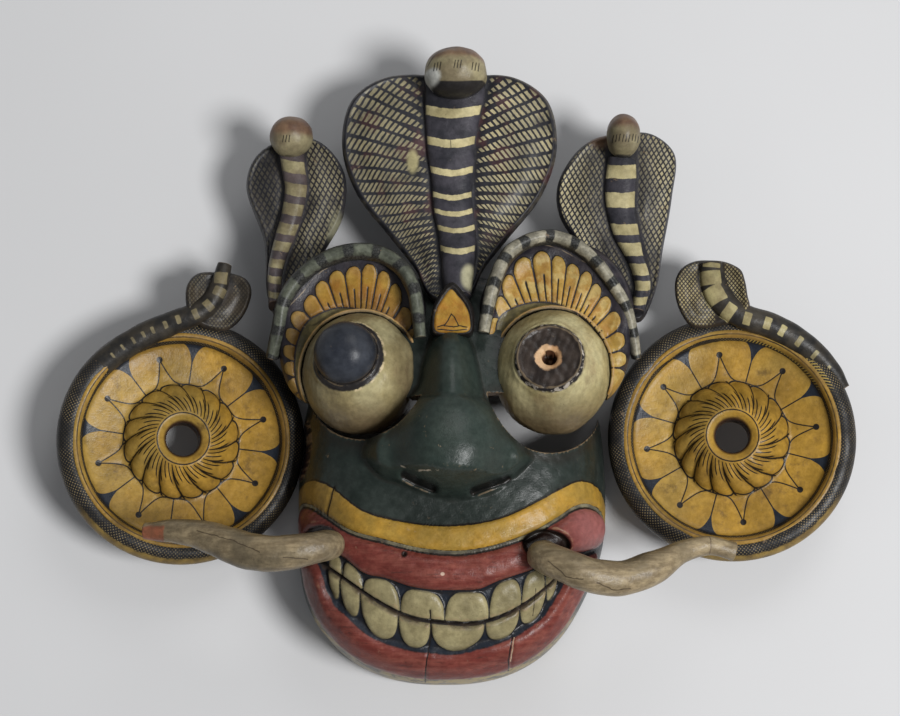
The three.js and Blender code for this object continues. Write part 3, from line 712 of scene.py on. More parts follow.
brows = {
    "left": {
        "at": (-61, 44), "halfWidth": 46.5, "rise": 48, "drop": 50, "lean": 5,
        "tips": [(-19, 27), (-20, 38), (-24.5, 49), (-32.6, 66.4), (-40, 75), (-50, 80), (-60.6, 78.6), (-71.7, 75.9), (-81.6, 68.8),
                 (-88.5, 59.6), (-97.5, 48.8), (-101, 38), (-102.5, 27), (-102, 16), (-100, 5), (-97, -5)],
        "bases": [(-22, 12), (-25, 28), (-30.5, 41.5), (-36.5, 47), (-44.5, 51), (-58.5, 53), (-70.5, 53.6), (-80, 50.5), (-88.5, 45),
                  (-94, 34), (-96, 20), (-94, 4)],
        "snake": [(-110, 24, 66), (-106, 38, 70), (-102, 58, 73), (-91, 73.5, 75), (-77, 83, 77), (-60, 87.5, 79), (-43, 85, 81),
                  (-30, 75.5, 84), (-23, 61.5, 87), (-20.5, 46.5, 88), (-19, 33, 88)],
        "snakeWide": [4, 5, 5, 5, 5, 5.2, 5.2, 5, 4.6, 4.2, 3.6],
    },
    "right": {
        "at": (64, 47), "halfWidth": 48, "rise": 51, "drop": 52, "lean": -9,
        "tips": [(106, 11), (106, 22), (105, 34), (102, 48), (96, 59), (90, 67), (84, 75), (75, 80), (66, 85), (55, 88), (41, 83),
                 (32, 71), (27, 57), (24, 44)],
        "bases": [(94, 4), (95, 16), (92, 30), (87, 40), (79, 48), (69, 54), (59, 57), (49, 57), (38, 54), (29, 48), (26, 36)],
        "snake": [(113, 24, 64), (110, 40, 68), (106, 54, 71), (98, 68, 74), (88, 81, 77), (76, 91, 79), (61.5, 96, 80), (48.5, 94, 82),
                  (35, 85.5, 84), (26.5, 69, 87), (21.5, 50, 88), (19, 36, 88)],
        "snakeWide": [3, 4, 4.2, 4.2, 4.2, 4.4, 4.6, 4.6, 4.6, 4.4, 4.2, 3.6],
    },
    "tipDepth": 6.5, "slitFrom": 13,
}


def browEdge(brow, turn):
    angle = turn * 2 * math.pi
    sine, cosine = np.sin(angle), np.cos(angle)
    power = np.where(sine > 0, 0.95, 0.6)
    x = brow["halfWidth"] * np.sign(cosine) * np.abs(cosine) ** power
    y = np.where(sine > 0, brow["rise"], brow["drop"]) * np.sign(sine) * np.abs(sine) ** power
    lean = math.radians(brow["lean"])
    return (x * math.cos(lean) - y * math.sin(lean) + brow["at"][0], x * math.sin(lean) + y * math.cos(lean) + brow["at"][1])


def roundEye(eye, points):
    # for points round the eye: their turn from straight down, in radians, and their reach from its middle, in order
    off = np.array(points, float) - np.array(eye["at"][:2])
    turn = np.mod(np.arctan2(off[:, 1], off[:, 0]) + math.pi / 2, 2 * math.pi)
    order = np.argsort(turn)
    return turn[order], np.hypot(*off.T)[order]


def makeBrow(side):
    brow, eye = brows[side], eyes[side]
    tipTurn, tipReach = roundEye(eye, brow["tips"])
    tipAt = lineThrough(list(zip(tipTurn, tipReach)))
    baseAt = lineThrough(list(zip(*roundEye(eye, brow["bases"]))))
    petalAt = lineThrough(list(zip(tipTurn, np.arange(len(tipTurn)) + 0.5)))

    def place(unit):
        turn, rise = turnAndRise(unit)
        rise = np.where(rise < 0.25, rise * 2, 0.5 + (rise - 0.25) / 1.5)
        front = rise >= 0.5
        share = np.sin(rise * math.pi)
        edgeX, edgeY = browEdge(brow, turn)
        x = brow["at"][0] + (edgeX - brow["at"][0]) * share
        y = brow["at"][1] + (edgeY - brow["at"][1]) * share
        outIn = (1 - share) * np.hypot(edgeX - brow["at"][0], edgeY - brow["at"][1])
        eyeX, eyeY = x - eye["at"][0], y - eye["at"][1]
        eyeShare = np.hypot(eyeX / eye["radii"][0], eyeY / eye["radii"][1])
        turnRoundEye = np.mod(np.arctan2(eyeY, eyeX) + math.pi / 2, 2 * math.pi)
        reach = np.hypot(eyeX, eyeY)
        lidOut = (eyeShare - 1) * 36
        tipIn, baseOut = tipAt(turnRoundEye) - reach, reach - baseAt(turnRoundEye)
        petal = petalAt(turnRoundEye)
        across = np.abs(np.mod(petal, 1) - 0.5) * 2
        top = 72 + 7 * roundedRise(outIn, 5) - 3.5 * eased((outIn - 6) / 12)
        top += 2.4 * np.exp(-((lidOut - 1.4) / 1.7) ** 2)
        petalIn = np.minimum(tipIn - brows["tipDepth"] * across ** 3, baseOut)
        top += 1.1 * roundedRise(petalIn, 2) * eased((0.96 - across) / 0.2)
        top -= 0.7 * bell(across, 0.1) * eased((tipIn - brows["slitFrom"]) / 2) * eased(baseOut)
        top -= 30 * eased((0.9 - eyeShare) / 0.3)
        z = np.where(front, top - (1 - domed(share * 0.999)) * 8, 16 + 44 * share ** 6)
        points = np.stack([x, y, z], axis=1)
        points[:, 2] += np.where(front, 0.3 * handWaver(points, 22, 11), 0)
        return points, {"tipIn": tipIn, "baseOut": baseOut, "lidOut": lidOut, "petal": petal, "front": front.astype(float)}

    piece = carve(side + "_brow", ball(260, 126), place)
    cutAway(piece, slitCutter(eye))
    return settle(piece, "face", browPaint(side))


def browPaint(side):
    paint = Paint(side + " brow paint")
    waver = paint.waver(380, 0.3)
    tipIn = paint.add(paint.field("tipIn"), waver)
    baseOut = paint.add(paint.field("baseOut"), waver)
    lidOut = paint.add(paint.field("lidOut"), waver)
    across = paint.fromMiddle(paint.add(paint.field("petal"), paint.waver(240, 0.03)))
    petalIn = paint.add(tipIn, paint.times(paint.sum("POWER", across, 3.0), -brows["tipDepth"]))
    petal = paint.times(paint.ramp(paint.least(petalIn, baseOut), -0.25, 0.35), paint.ramp(across, 0.93, 0.85))
    rib = paint.times(paint.ramp(across, 0.16, 0.08), paint.ramp(tipIn, brows["slitFrom"], brows["slitFrom"] + 1.5))
    gold = paint.mottled(90, colours["yellow"], colours["orange"])
    if side == "left":
        # painted shade: the left fan's gold darkens towards its lower part
        gold = paint.mix(paint.ramp(paint.spot()[1], 74, 40, 0.0, 0.85), gold, (0.13, 0.062, 0.018))
    else:
        gold = paint.mix(paint.ramp(paint.noise(140, 4, shift=1.3), 0.46, 0.62, 0.2, 0.9), gold, (0.47, 0.34, 0.12))
    gold = paint.mix(paint.ramp(tipIn, 2.0, 10.0, 0.35, 0.0), gold, (0.38, 0.27, 0.08))
    ground = paint.mottled(120, (0.020, 0.018, 0.024), (0.036, 0.030, 0.034))
    colour = paint.mix(petal, ground, gold)
    colour = paint.mix(paint.times(rib, petal), colour, colours["line"])
    colour = paint.mix(paint.times(paint.line(paint.add(petalIn, 0.3), 0.35), paint.ramp(across, 1.0, 0.9)), colour, colours["line"])
    lid = paint.ramp(baseOut, -0.6, -1.4)
    colour = paint.mix(lid, colour, paint.mottled(100, (0.15, 0.12, 0.045), (0.07, 0.06, 0.03)))
    colour = paint.mix(paint.line(paint.add(lidOut, -2.1), 0.45), colour, (0.40, 0.25, 0.09))
    colour = paint.mix(paint.ramp(lidOut, 1.2, 0.2), colour, colours["line"])
    edge = paint.times(paint.line(paint.add(tipIn, 4.2), 0.3), paint.ramp(paint.noise(90, 3), 0.4, 0.55, 0.1, 0.8))
    colour = paint.mix(edge, colour, (0.26, 0.20, 0.13))
    colour = paint.mix(paint.ramp(paint.field("front"), 0.6, 0.4), colour, (0.02, 0.024, 0.022))
    return paint.finish(colour, wear=0.45, grime=0.6, gloss=0.4)


def bar(name, route, wide, thick, around=48, along=160, up=(0, 0, 1), extra=None, waver=0.2, seed=1, blunt=0.0, boxy=1.0):
    # a bar along a route; wide and thick are its half sizes at even steps from start to end
    place, direction = routeThrough(route)
    wideAt, thickAt = evenly(wide), evenly(thick)

    def placeBar(unit):
        turn, rise = turnAndRise(unit)
        cap = 0.06
        t = np.clip((rise - cap) / (1 - 2 * cap), 0, 1)
        close = np.minimum(1, np.minimum(rise, 1 - rise) / cap)
        girth = np.sin(close * math.pi / 2) ** (1 - blunt)
        middle, forward = place(t), direction(t)
        side = unitVectors(np.cross(forward, np.array(up, float)))
        out = np.cross(side, forward)
        across, lift = [np.sign(f) * np.abs(f) ** boxy for f in (np.cos(turn * 2 * math.pi), np.sin(turn * 2 * math.pi))]
        points = middle + side * (across * wideAt(t) * girth)[:, None] + out * (lift * thickAt(t) * girth)[:, None]
        outward = unitVectors(side * across[:, None] + out * lift[:, None])
        points += outward * (waver * handWaver(points, 16, seed) * girth)[:, None]
        fields = {"along": t * place.length, "across": across * wideAt(t) * girth, "lift": lift}
        if extra:
            fields.update(extra(points, fields))
        return points, fields

    return carve(name, ball(around, along), placeBar)


def makeBrowSnake(side):
    brow = brows[side]
    paint = Paint(side + " brow snake paint")
    phase = paint.times(paint.field("along"), 1 / (17.5 if side == "left" else 16.5))
    step = paint.fromMiddle(paint.add(phase, paint.waver(150, 0.09)))
    patches = paint.times(paint.ramp(step, 0.72, 0.6), paint.ramp(paint.field("lift"), 0.3, 0.5))
    patches = paint.times(patches, paint.ramp(paint.size(paint.add(paint.field("across"), paint.waver(200, 0.8))), 4.2, 3.2))
    scales = paint.ramp(paint.cells(560), 0.02, 0.12)
    body = paint.mix(scales, (0.010, 0.010, 0.011), (0.045, 0.046, 0.042))
    light = (0.13, 0.14, 0.105) if side == "left" else (0.40, 0.37, 0.28)
    pale = paint.mix(paint.ramp(paint.noise(170, 5, 0.7), 0.36, 0.62), light, tuple(c * 0.5 for c in light))
    colour = paint.mix(paint.times(patches, 0.9), body, pale)
    wide = brow["snakeWide"]
    piece = bar(side + "_brow_snake", brow["snake"], wide, [8.0 if i < len(wide) - 2 else 6.0 for i in range(len(wide))],
                around=40, along=240, seed=21)
    return settle(piece, "face", paint.finish(colour, wear=0.35, grime=0.5, gloss=0.42))


for side in ("left", "right"):
    makeBrow(side)
    makeBrowSnake(side)


# The eyeballs, the left one's knob and the right one's empty seat

def alongGaze(gaze):
    return np.array(Vector((0, 0, 1)).rotation_difference(Vector(gaze).normalized()).to_matrix())


def makeEyeball(side):
    eye = eyes[side]
    turnTo = alongGaze(eye["gaze"])
    radii = np.array(eye["radii"], float)

    def place(unit):
        # the ball's pole is on the gaze, so the seat is round
        aimed = unit @ turnTo.T
        points = aimed * radii
        reach = points @ turnTo[:, 2]
        out = np.linalg.norm(points - reach[:, None] * turnTo[:, 2], axis=1)
        seatRadius = eyes["seatRadius"] + 0.5
        flat = eased((seatRadius + 0.6 - out) / 1.2) * (reach > 0)
        seatHeight = eyes["seatReach"] - 0.4 + 0 * out
        if side == "right":
            seatHeight += 1.2 * bell(out - seatRadius + 1.6, 1.1) + 0.35 * handWaver(points, 7, 31)
            seatHeight -= 10 * (out < eyes["holeRadius"]) + 1.3 * bell(out - eyes["holeRadius"], 2.2)
        points += turnTo[:, 2] * (flat * (seatHeight - reach))[:, None]
        points += turnTo[:, 2] * (1.2 * bell(out - seatRadius - 1.5, 1.2) * (reach > 0))[:, None]
        points += aimed * (0.45 * handWaver(points, 20, 33) + 0.14 * handWaver(points, 6, 34))[:, None]
        local = (points - reach[:, None] * 0) @ turnTo
        fields = {"seatX": local[:, 0], "seatY": local[:, 1], "behind": (reach < 0) * 40.0, "low": points[:, 1] / radii[1]}
        return points + np.array(eye["at"], float), fields

    piece = carve(side + "_eyeball", ball(150, 116), place)
    return settle(piece, "face", eyePaint(side))


def eyePaint(side):
    paint = Paint(side + " eye paint")
    waver = paint.waver(230, 0.7, 4)
    across, up = paint.field("seatX"), paint.field("seatY")
    bareOut = paint.add(paint.length(across, up), paint.field("behind"))
    out = paint.add(bareOut, waver)
    cream = paint.mottled(42, (0.42, 0.37, 0.20), (0.32, 0.265, 0.125))
    stains = paint.ramp(paint.noise(34, 6, 0.65, (1.4, 0.7, 1), 2.2), 0.50, 0.70, 0.0, 0.6)
    cream = paint.mix(stains, cream, (0.19, 0.13, 0.065))
    # painted shade: each ball is darkened brown towards its lower edge
    low = paint.ramp(paint.add(paint.field("low"), paint.times(waver, 0.1)), -0.30, -0.95, 0.0, 0.85)
    colour = paint.mix(low, cream, (0.10, 0.065, 0.035))
    if side == "left":
        shade = paint.ramp(paint.add(across, paint.times(waver, 1.5)), 18, 30, 0.0, 0.6)
        shade = paint.most(shade, paint.ramp(paint.add(across, paint.times(waver, 2)), 6, -28, 0.25, 0.7))
        colour = paint.mix(shade, colour, (0.08, 0.06, 0.035))
        collar = paint.times(paint.ramp(out, 22.6, 21.4), paint.ramp(paint.add(across, paint.times(up, -1)), -26, -14))
        colour = paint.mix(collar, colour, (0.02, 0.018, 0.018))
        chips = paint.times(paint.line(paint.add(out, -22.2), 0.5), paint.ramp(paint.noise(260, 4), 0.46, 0.56))
        colour = paint.mix(paint.times(chips, paint.ramp(across, -4, 6)), colour, (0.42, 0.34, 0.2))
    else:
        colour = paint.mix(paint.ramp(out, 21.4, 20.6), colour, (0.016, 0.014, 0.015))
        seat = paint.mottled(100, (0.020, 0.015, 0.013), (0.044, 0.033, 0.027), 5)
        colour = paint.mix(paint.ramp(out, 19.4, 18.2), colour, seat)
        chips = paint.times(paint.line(paint.add(out, -20.4), 0.7), paint.ramp(paint.noise(230, 4, shift=5), 0.50, 0.57))
        colour = paint.mix(chips, colour, (0.36, 0.32, 0.27))
        colour = paint.mix(paint.ramp(paint.add(out, waver), 8.2, 6.6), colour, (0.40, 0.22, 0.105))
        lit = paint.times(paint.ramp(paint.add(out, waver), 8.8, 7.6), paint.ramp(across, 2, -3))
        colour = paint.mix(lit, colour, (0.50, 0.32, 0.18))
        # painted shade: the inside of the empty peg hole is darkened
        colour = paint.mix(paint.ramp(bareOut, 4.9, 4.3), colour, (0.05, 0.02, 0.009))
    return paint.finish(colour, wear=0.25, grime=0.5, gloss=0.36, wood=(0.36, 0.26, 0.14))


def makeKnob():
    eye = eyes["left"]
    turnTo = alongGaze(eye["gaze"])

    def place(unit):
        turn, rise = turnAndRise(unit)
        front = rise >= 0.5
        angle = (rise - 0.5) * math.pi
        share = np.clip((0.5 - rise) / 0.5, 0, 1)
        stops = [0, 0.12, 0.3, 0.35, 0.9, 1]
        radius = np.where(front, 18.7 * np.cos(angle), np.interp(share, stops, [18.7, 18.7, 17.8, 4.2, 4.2, 0]))
        height = np.where(front, 3.35 + 17.2 * np.sin(angle), np.interp(share, stops, [3.35, 0.9, 0.35, 0.35, -11, -11]))
        local = np.stack([radius * np.cos(turn * 2 * math.pi), radius * np.sin(turn * 2 * math.pi), height], axis=1)
        local += (unit * 0.15) * handWaver(local, 15, 41)[:, None] * (radius > 5)[:, None]
        points = (local + np.array([0, 0, eyes["seatReach"]])) @ turnTo.T + np.array(eye["at"], float)
        return points, {"height": height}

    paint = Paint("knob paint")
    slate = paint.mottled(60, (0.020, 0.023, 0.031), (0.036, 0.040, 0.049), 5)
    foot = paint.ramp(paint.add(paint.field("height"), paint.waver(240, 0.6, 4)), 2.6, 1.6)
    colour = paint.mix(foot, slate, (0.05, 0.04, 0.032))
    piece = carve("pupil_knob", ball(120, 90), place)
    return settle(piece, "left_pupil", paint.finish(colour, wear=0.12, grime=0.4, gloss=0.38, relief=0.6))


makeEyeball("left")
makeEyeball("right")
makeKnob()


# The yellow flame over the nose

flame = {
    "outline": [(0, 67), (7.5, 60), (12.3, 52), (13.6, 44), (11.6, 35), (0.2, 33.6), (-11.4, 35), (-12.8, 44), (-11, 53), (-6.5, 61)],
    "gold": [(-0.6, 62), (4, 57.5), (8, 52), (10.6, 45), (10.2, 36.5), (0.4, 35.2), (-9.6, 36.5), (-10.6, 43), (-8.6, 51), (-5, 57)],
    "arch": [(-4.6, 39.4), (-2.4, 42.6), (-0.4, 46.6), (1.4, 44.6), (3, 41.5), (4, 39.2), (1, 38.6), (-2.2, 39)],
    "arms": [[(-8.6, 38.6), (-4.4, 40)], [(4, 39.4), (8.8, 38.4)], [(-8.6, 37.2), (0, 36.4), (8.8, 37)]],
}


def makeFlame():
    outline, _ = routeThrough(flame["outline"], closed=True)
    gold, _ = routeThrough(flame["gold"], closed=True)
    rim = gold(np.linspace(0, 1, 300))
    middle = np.array([0.2, 46])

    def place(unit):
        turn, rise = turnAndRise(unit)
        share = np.sin(rise * math.pi)
        edge = outline(turn)
        flat = middle + (edge - middle) * share[:, None]
        gap = np.min(np.hypot(flat[:, None, 0] - rim[None, :, 0], flat[:, None, 1] - rim[None, :, 1]), axis=1)
        rimTurn = np.arctan2(*(rim - middle).T[::-1])
        order = np.argsort(rimTurn)
        reach = np.hypot(*(rim - middle).T)
        here = np.interp(np.arctan2(*(flat - middle).T[::-1]), rimTurn[order], reach[order])
        goldIn = np.where(np.hypot(*(flat - middle).T) < here, gap, -gap)
        edgeIn = (1 - share) * np.linalg.norm(edge - middle, axis=1)
        z = np.where(rise >= 0.5, 89.5 + 4.2 * roundedRise(edgeIn, 3.5) - 0.8 * bell(goldIn, 0.7) - (flat[:, 1] - 46) * 0.1, 70)
        return np.column_stack([flat, z]), {"goldIn": goldIn}

    paint = Paint("flame paint")
    x, y = paint.spot()
    waver = paint.waver(420, 0.2)
    x, y = paint.add(x, waver), paint.add(y, waver)
    gold = paint.mottled(110, colours["yellow"], colours["orange"])
    colour = paint.mix(paint.ramp(paint.add(paint.field("goldIn"), waver), -0.2, 0.3), colours["line"], gold)
    for route in [flame["arch"] + flame["arch"][:1]] + flame["arms"]:
        colour = paint.mix(paint.stroke(x, y, route, 0.36), colour, colours["line"])
    piece = carve("brow_flame", ball(120, 70), place)
    return settle(piece, "face", paint.finish(colour, wear=0.3, grime=0.45))


makeFlame()


# The three crest cobras

cobras = {
    "centre": {
        "outline": [(-1.5, 209), (8, 208), (40, 205), (60, 190), (66, 160), (57, 130), (36, 102), (20, 80), (10, 60), (-1.5, 56),
                    (-13, 60), (-23, 80), (-39, 102), (-60, 130), (-69, 160), (-63, 190), (-43, 205), (-11, 208)],
        "middle": (-1.5, 150), "half": 8.5,
        "belly": [(2.5, 207), (2, 195), (0, 177), (-0.6, 161), (0, 141), (0.3, 125), (3, 103), (3.6, 89), (3.5, 60)],
        "bellyWide": [19, 18.6, 16.2, 14.6, 12.8, 12.2, 11.4, 10.2, 8], "sag": -3.4,
        "bands": [(178.8, 6.2), (159.4, 5.2), (140.7, 4.2), (125, 3.4), (114.4, 3.2), (103.3, 3.4), (88.9, 4)],  # middle, thickness
        "head": (2.4, 203, 66), "headRadii": (19.5, 16, 20), "collar": 193.5, "brownFrom": 209,
        "marks": [(-9, 203), (3.6, 203.6), (14.6, 203)], "markTall": 2.4,
    },
    "left": {
        "outline": [(-104, 168), (-84, 165), (-68, 145), (-68, 118), (-82, 88), (-88, 60), (-103, 42), (-114, 62), (-118, 100),
                    (-130, 138), (-124, 156)],
        "middle": (-99, 118), "half": 8,
        "belly": [(-101.6, 164.5), (-99.4, 145), (-97.6, 134), (-100, 117), (-104.5, 102), (-108, 88), (-109.6, 77), (-109, 56)],
        "bellyWide": [8, 7.6, 7.2, 6.6, 6.2, 5, 4.4, 4], "sag": -1.4,
        "bands": [(145.5, 8), (131, 8), (118.5, 7.4), (106, 7), (94.5, 6.4), (83, 6), (72, 5), (62, 4)],
        "head": (-100.4, 164.5, 58), "headRadii": (13.5, 12.5, 15), "collar": 152, "brownFrom": 163,
        "marks": [(-102.5, 160)], "markTall": 1.8,
    },
    "right": {
        "outline": [(106, 171), (128, 170), (141, 158), (139, 130), (133, 98), (126, 66), (115, 47), (100, 60), (86, 88), (67, 118),
                    (67, 138), (84, 163)],
        "middle": (108, 116), "half": 8,
        "belly": [(107, 152), (106, 142), (105.4, 124), (108.4, 106.4), (112.4, 92.7), (116.4, 79), (117.6, 68), (115.5, 60), (114, 52)],
        "bellyWide": [9, 10, 9.6, 8.8, 7.8, 5.8, 5.2, 4.8, 4], "sag": -1.6,
        "bands": [(142.3, 8.6), (124.3, 9.6), (105.5, 7), (92.5, 8.6), (79, 8), (68, 6.4), (58, 5)],
        "head": (107, 164.5, 60), "headRadii": (10.5, 13.5, 16), "collar": 151.5, "brownFrom": 167,
        "marks": [(101.6, 160), (107.6, 159.6), (113.6, 160.4)], "markTall": 1.9,
    },
    "fanPivot": 129, "fanOpening": 0.011, "rowPitch": [(55, 3.0), (85, 3.4), (110, 4.4), (150, 6.4), (220, 6.8)],
}


def hoodLie(name, x, y):
    if name == "centre":
        return 46 + 22 * eased((-y + 120) / 65) + 0.0012 * x * x
    if name == "left":
        return 42 + 16 * eased((-y + 110) / 60) + 0.1 * (x + 99)
    return 42 + 16 * eased((-y + 110) / 60) - 0.1 * (x - 108)


def makeCobra(name):
    cobra = cobras[name]
    outline, _ = routeThrough(cobra["outline"], closed=True)
    middle = np.array(cobra["middle"], float)
    bellyY, bellyX = np.array(sorted((y, x) for x, y in cobra["belly"])).T
    bellyWide = np.interp(bellyY, [y for x, y in cobra["belly"]][::-1], cobra["bellyWide"][::-1])

    def placeHood(unit):
        turn, rise = turnAndRise(unit)
        rise = np.where(rise < 0.3, rise / 0.6, 0.5 + (rise - 0.3) / 1.4)
        share = np.sin(rise * math.pi)
        edge = outline(turn)
        flat = middle + (edge - middle) * share[:, None]
        x, y = flat.T
        edgeIn = (1 - share) * np.linalg.norm(edge - middle, axis=1)
        thick = cobra["half"] * np.sqrt(np.clip(1 - share ** 5, 0, 1))
        front = rise >= 0.5
        fromStrip = np.abs(x - np.interp(y, bellyY, bellyX)) - np.interp(y, bellyY, bellyWide)
        lip = np.where(front, 1.6 * bell(edgeIn - 2.2, 1.8) - 1.4 * bell(edgeIn - 10, 6) - 1.2 * bell(fromStrip - 1.5, 3), 0)
        points = np.column_stack([flat, hoodLie(name, x, y) + np.where(front, thick, -thick) + lip])
        points[:, 2] += 0.35 * handWaver(points, 24, 51)
        fields = {"edgeIn": edgeIn, "front": front.astype(float), "fromStrip": fromStrip}
        if name == "centre":
            out = np.maximum(0, np.abs(x - 1) - 13) * cobras["fanOpening"]
            fan = (y + cobras["fanPivot"] * out) / (1 + out)
            heights = np.arange(40, 226, 1.0)
            pitch = np.interp(heights, *np.array(cobras["rowPitch"]).T)
            fields["row"] = np.interp(fan, heights, np.cumsum(1 / pitch))
        return points, fields

    hood = carve(name + "_hood", ball(200, 110), placeHood)
    settle(hood, "face", hoodPaint(name))

    def bandField(points, fields):
        inside = np.full(len(points), -9.0)
        wide = np.interp(points[:, 1], bellyY, bellyWide)
        up = points[:, 1] + cobra["sag"] * (fields["across"] / wide) ** 2
        if name == "left":
            up = up - 0.18 * fields["across"]
        for middleY, thick in cobra["bands"]:
            inside = np.maximum(inside, thick / 2 - np.abs(up - middleY))
        return {"bandIn": inside}

    start, end = cobra["belly"][0], cobra["belly"][-1]
    route = [(x, y, float(hoodLie(name, np.array([float(x)]), np.array([float(y)]))[0]) + cobra["half"] - 1) for x, y in cobra["belly"]]
    belly = bar(name + "_belly", route, cobra["bellyWide"], [7.5] * len(route), along=170, extra=bandField, seed=53, boxy=0.85)
    settle(belly, "face", bellyPaint(name))

    def placeHead(unit):
        points = np.sign(unit) * np.abs(unit) ** 0.94 * np.array(cobra["headRadii"], float)
        points += unit * (0.35 * handWaver(points, 14, 55))[:, None]
        points[:, 2] *= np.where(points[:, 2] < 0, 0.85, 1)
        return points + np.array(cobra["head"], float), {}

    head = carve(name + "_head", ball(76, 56), placeHead)
    settle(head, "face", headPaint(name))


def hoodPaint(name):
    paint = Paint(name + " hood paint")
    x, y = paint.spot()
    edgeIn, fromStrip = paint.field("edgeIn"), paint.field("fromStrip")
    if name == "centre":
        # feather rows of slanted dashes that open out from the strip
        side = paint.size(paint.add(x, -1))
        reach = paint.length(side, y)
        spiral = paint.sum("MULTIPLY_ADD", paint.sum("LOGARITHM", reach, math.e), 41.6,
                           paint.times(paint.sum("ARCTAN2", side, y), 34.9))
        row = paint.fromMiddle(paint.add(paint.field("row"), paint.waver(90, 0.12)))
        dash = paint.fromMiddle(paint.add(spiral, paint.waver(160, 0.16)))
        size = paint.ramp(fromStrip, 0, 22, 0.55, 1.0)
        marks = paint.times(paint.ramp(row, paint.times(size, 0.84), paint.times(size, 0.66)), paint.ramp(dash, 0.66, 0.5))
        marks = paint.times(marks, paint.ramp(edgeIn, 2.6, 4.0), paint.ramp(fromStrip, 1.5, 4.5))
        ground = paint.mix(paint.ramp(paint.noise(55, 4), 0.52, 0.66), colours["charcoal"], (0.050, 0.024, 0.026))
    else:
        # a net of small diamonds
        cell = 3.5 if name == "left" else 3.3
        lean = 0.35 if name == "left" else -0.3
        first = paint.times(paint.add(x, paint.times(y, 0.62 + lean * 0.5)), 1 / cell)
        second = paint.times(paint.add(x, paint.times(y, -0.62 + lean * 0.5)), 1 / cell)
        row = paint.fromMiddle(paint.add(first, paint.waver(90, 0.14)))
        dash = paint.fromMiddle(paint.add(second, paint.waver(90, 0.14, 2)))
        marks = paint.times(paint.ramp(row, 0.74, 0.56), paint.ramp(dash, 0.74, 0.56))
        marks = paint.times(marks, paint.ramp(edgeIn, 1.4, 2.4), paint.ramp(fromStrip, 0.5, 3))
        if name == "left":
            light = paint.add(paint.times(paint.ramp(x, -104, -94), 0.75), 0.25)
        else:
            light = paint.ramp(fromStrip, 2, 24, 0.35, 1.0)
        marks = paint.times(marks, light)
        ground = paint.mottled(60, colours["charcoal"], (0.028, 0.026, 0.028))
    marks = paint.times(marks, paint.ramp(paint.noise(50, 5, 0.6), 0.30, 0.50, 0.35, 1.0))
    marks = paint.times(marks, paint.ramp(paint.field("front"), 0.4, 0.6))
    pale = paint.mottled(70, (0.40, 0.345, 0.20), (0.28, 0.25, 0.16))
    if name == "centre":
        # painted shade: the pale marks darken towards the left of the hood
        pale = paint.mix(paint.ramp(x, 15, -25, 0.0, 0.55), pale, (0.12, 0.105, 0.065))
    if name == "left":
        pale = paint.mix(0.6, pale, (0.09, 0.08, 0.055))
    colour = paint.mix(marks, ground, pale)
    if name == "centre":
        colour = paint.mix(paint.patch(x, y, (-24.5, 149.5), (3.4, 7), 0.4), colour, (0.33, 0.29, 0.15))
        rim = paint.times(paint.ramp(edgeIn, 2.6, 1.2), paint.ramp(paint.noise(120, 4), 0.42, 0.6, 0.0, 0.6))
        colour = paint.mix(rim, colour, (0.10, 0.085, 0.06))
    if name == "left":
        bright = paint.patch(paint.add(x, paint.waver(150, 2)), y, (-72, 100), (5, 16), 0.5)
        colour = paint.mix(paint.times(bright, 0.75), colour, (0.24, 0.23, 0.15))
    if name == "right":
        bright = paint.patch(paint.add(x, paint.waver(150, 2)), y, (94, 166), (8, 6), 0.5)
        colour = paint.mix(bright, colour, (0.11, 0.065, 0.04))
    return paint.finish(colour, wear=0.3, grime=0.45, gloss=0.42)


def bellyPaint(name):
    paint = Paint(name + " belly paint")
    band = paint.ramp(paint.add(paint.field("bandIn"), paint.waver(260, 0.5)), -0.25, 0.25)
    band = paint.times(band, paint.ramp(paint.field("lift"), 0.3, 0.5))
    pale = paint.mottled(80, (0.46, 0.40, 0.22), (0.34, 0.29, 0.15))
    ground = paint.mottled(70, (0.022, 0.022, 0.027), (0.048, 0.045, 0.054))
    if name == "left":
        ground = paint.mottled(70, (0.055, 0.045, 0.047), (0.09, 0.07, 0.068))
        pale = paint.mix(paint.ramp(paint.noise(60, 4), 0.4, 0.6), (0.27, 0.235, 0.13), (0.17, 0.14, 0.08))
    colour = paint.mix(band, ground, pale)
    if name == "centre":
        x, y = paint.spot()
        colour = paint.mix(paint.patch(x, y, (10.5, 72), (5, 8), 0.3), colour, (0.36, 0.34, 0.22))
        nick = paint.stroke(x, y, [(-0.6, 157), (-0.8, 161.5)], 0.2)
        colour = paint.mix(nick, colour, colours["line"])
    return paint.finish(colour, wear=0.35, grime=0.45, gloss=0.4)


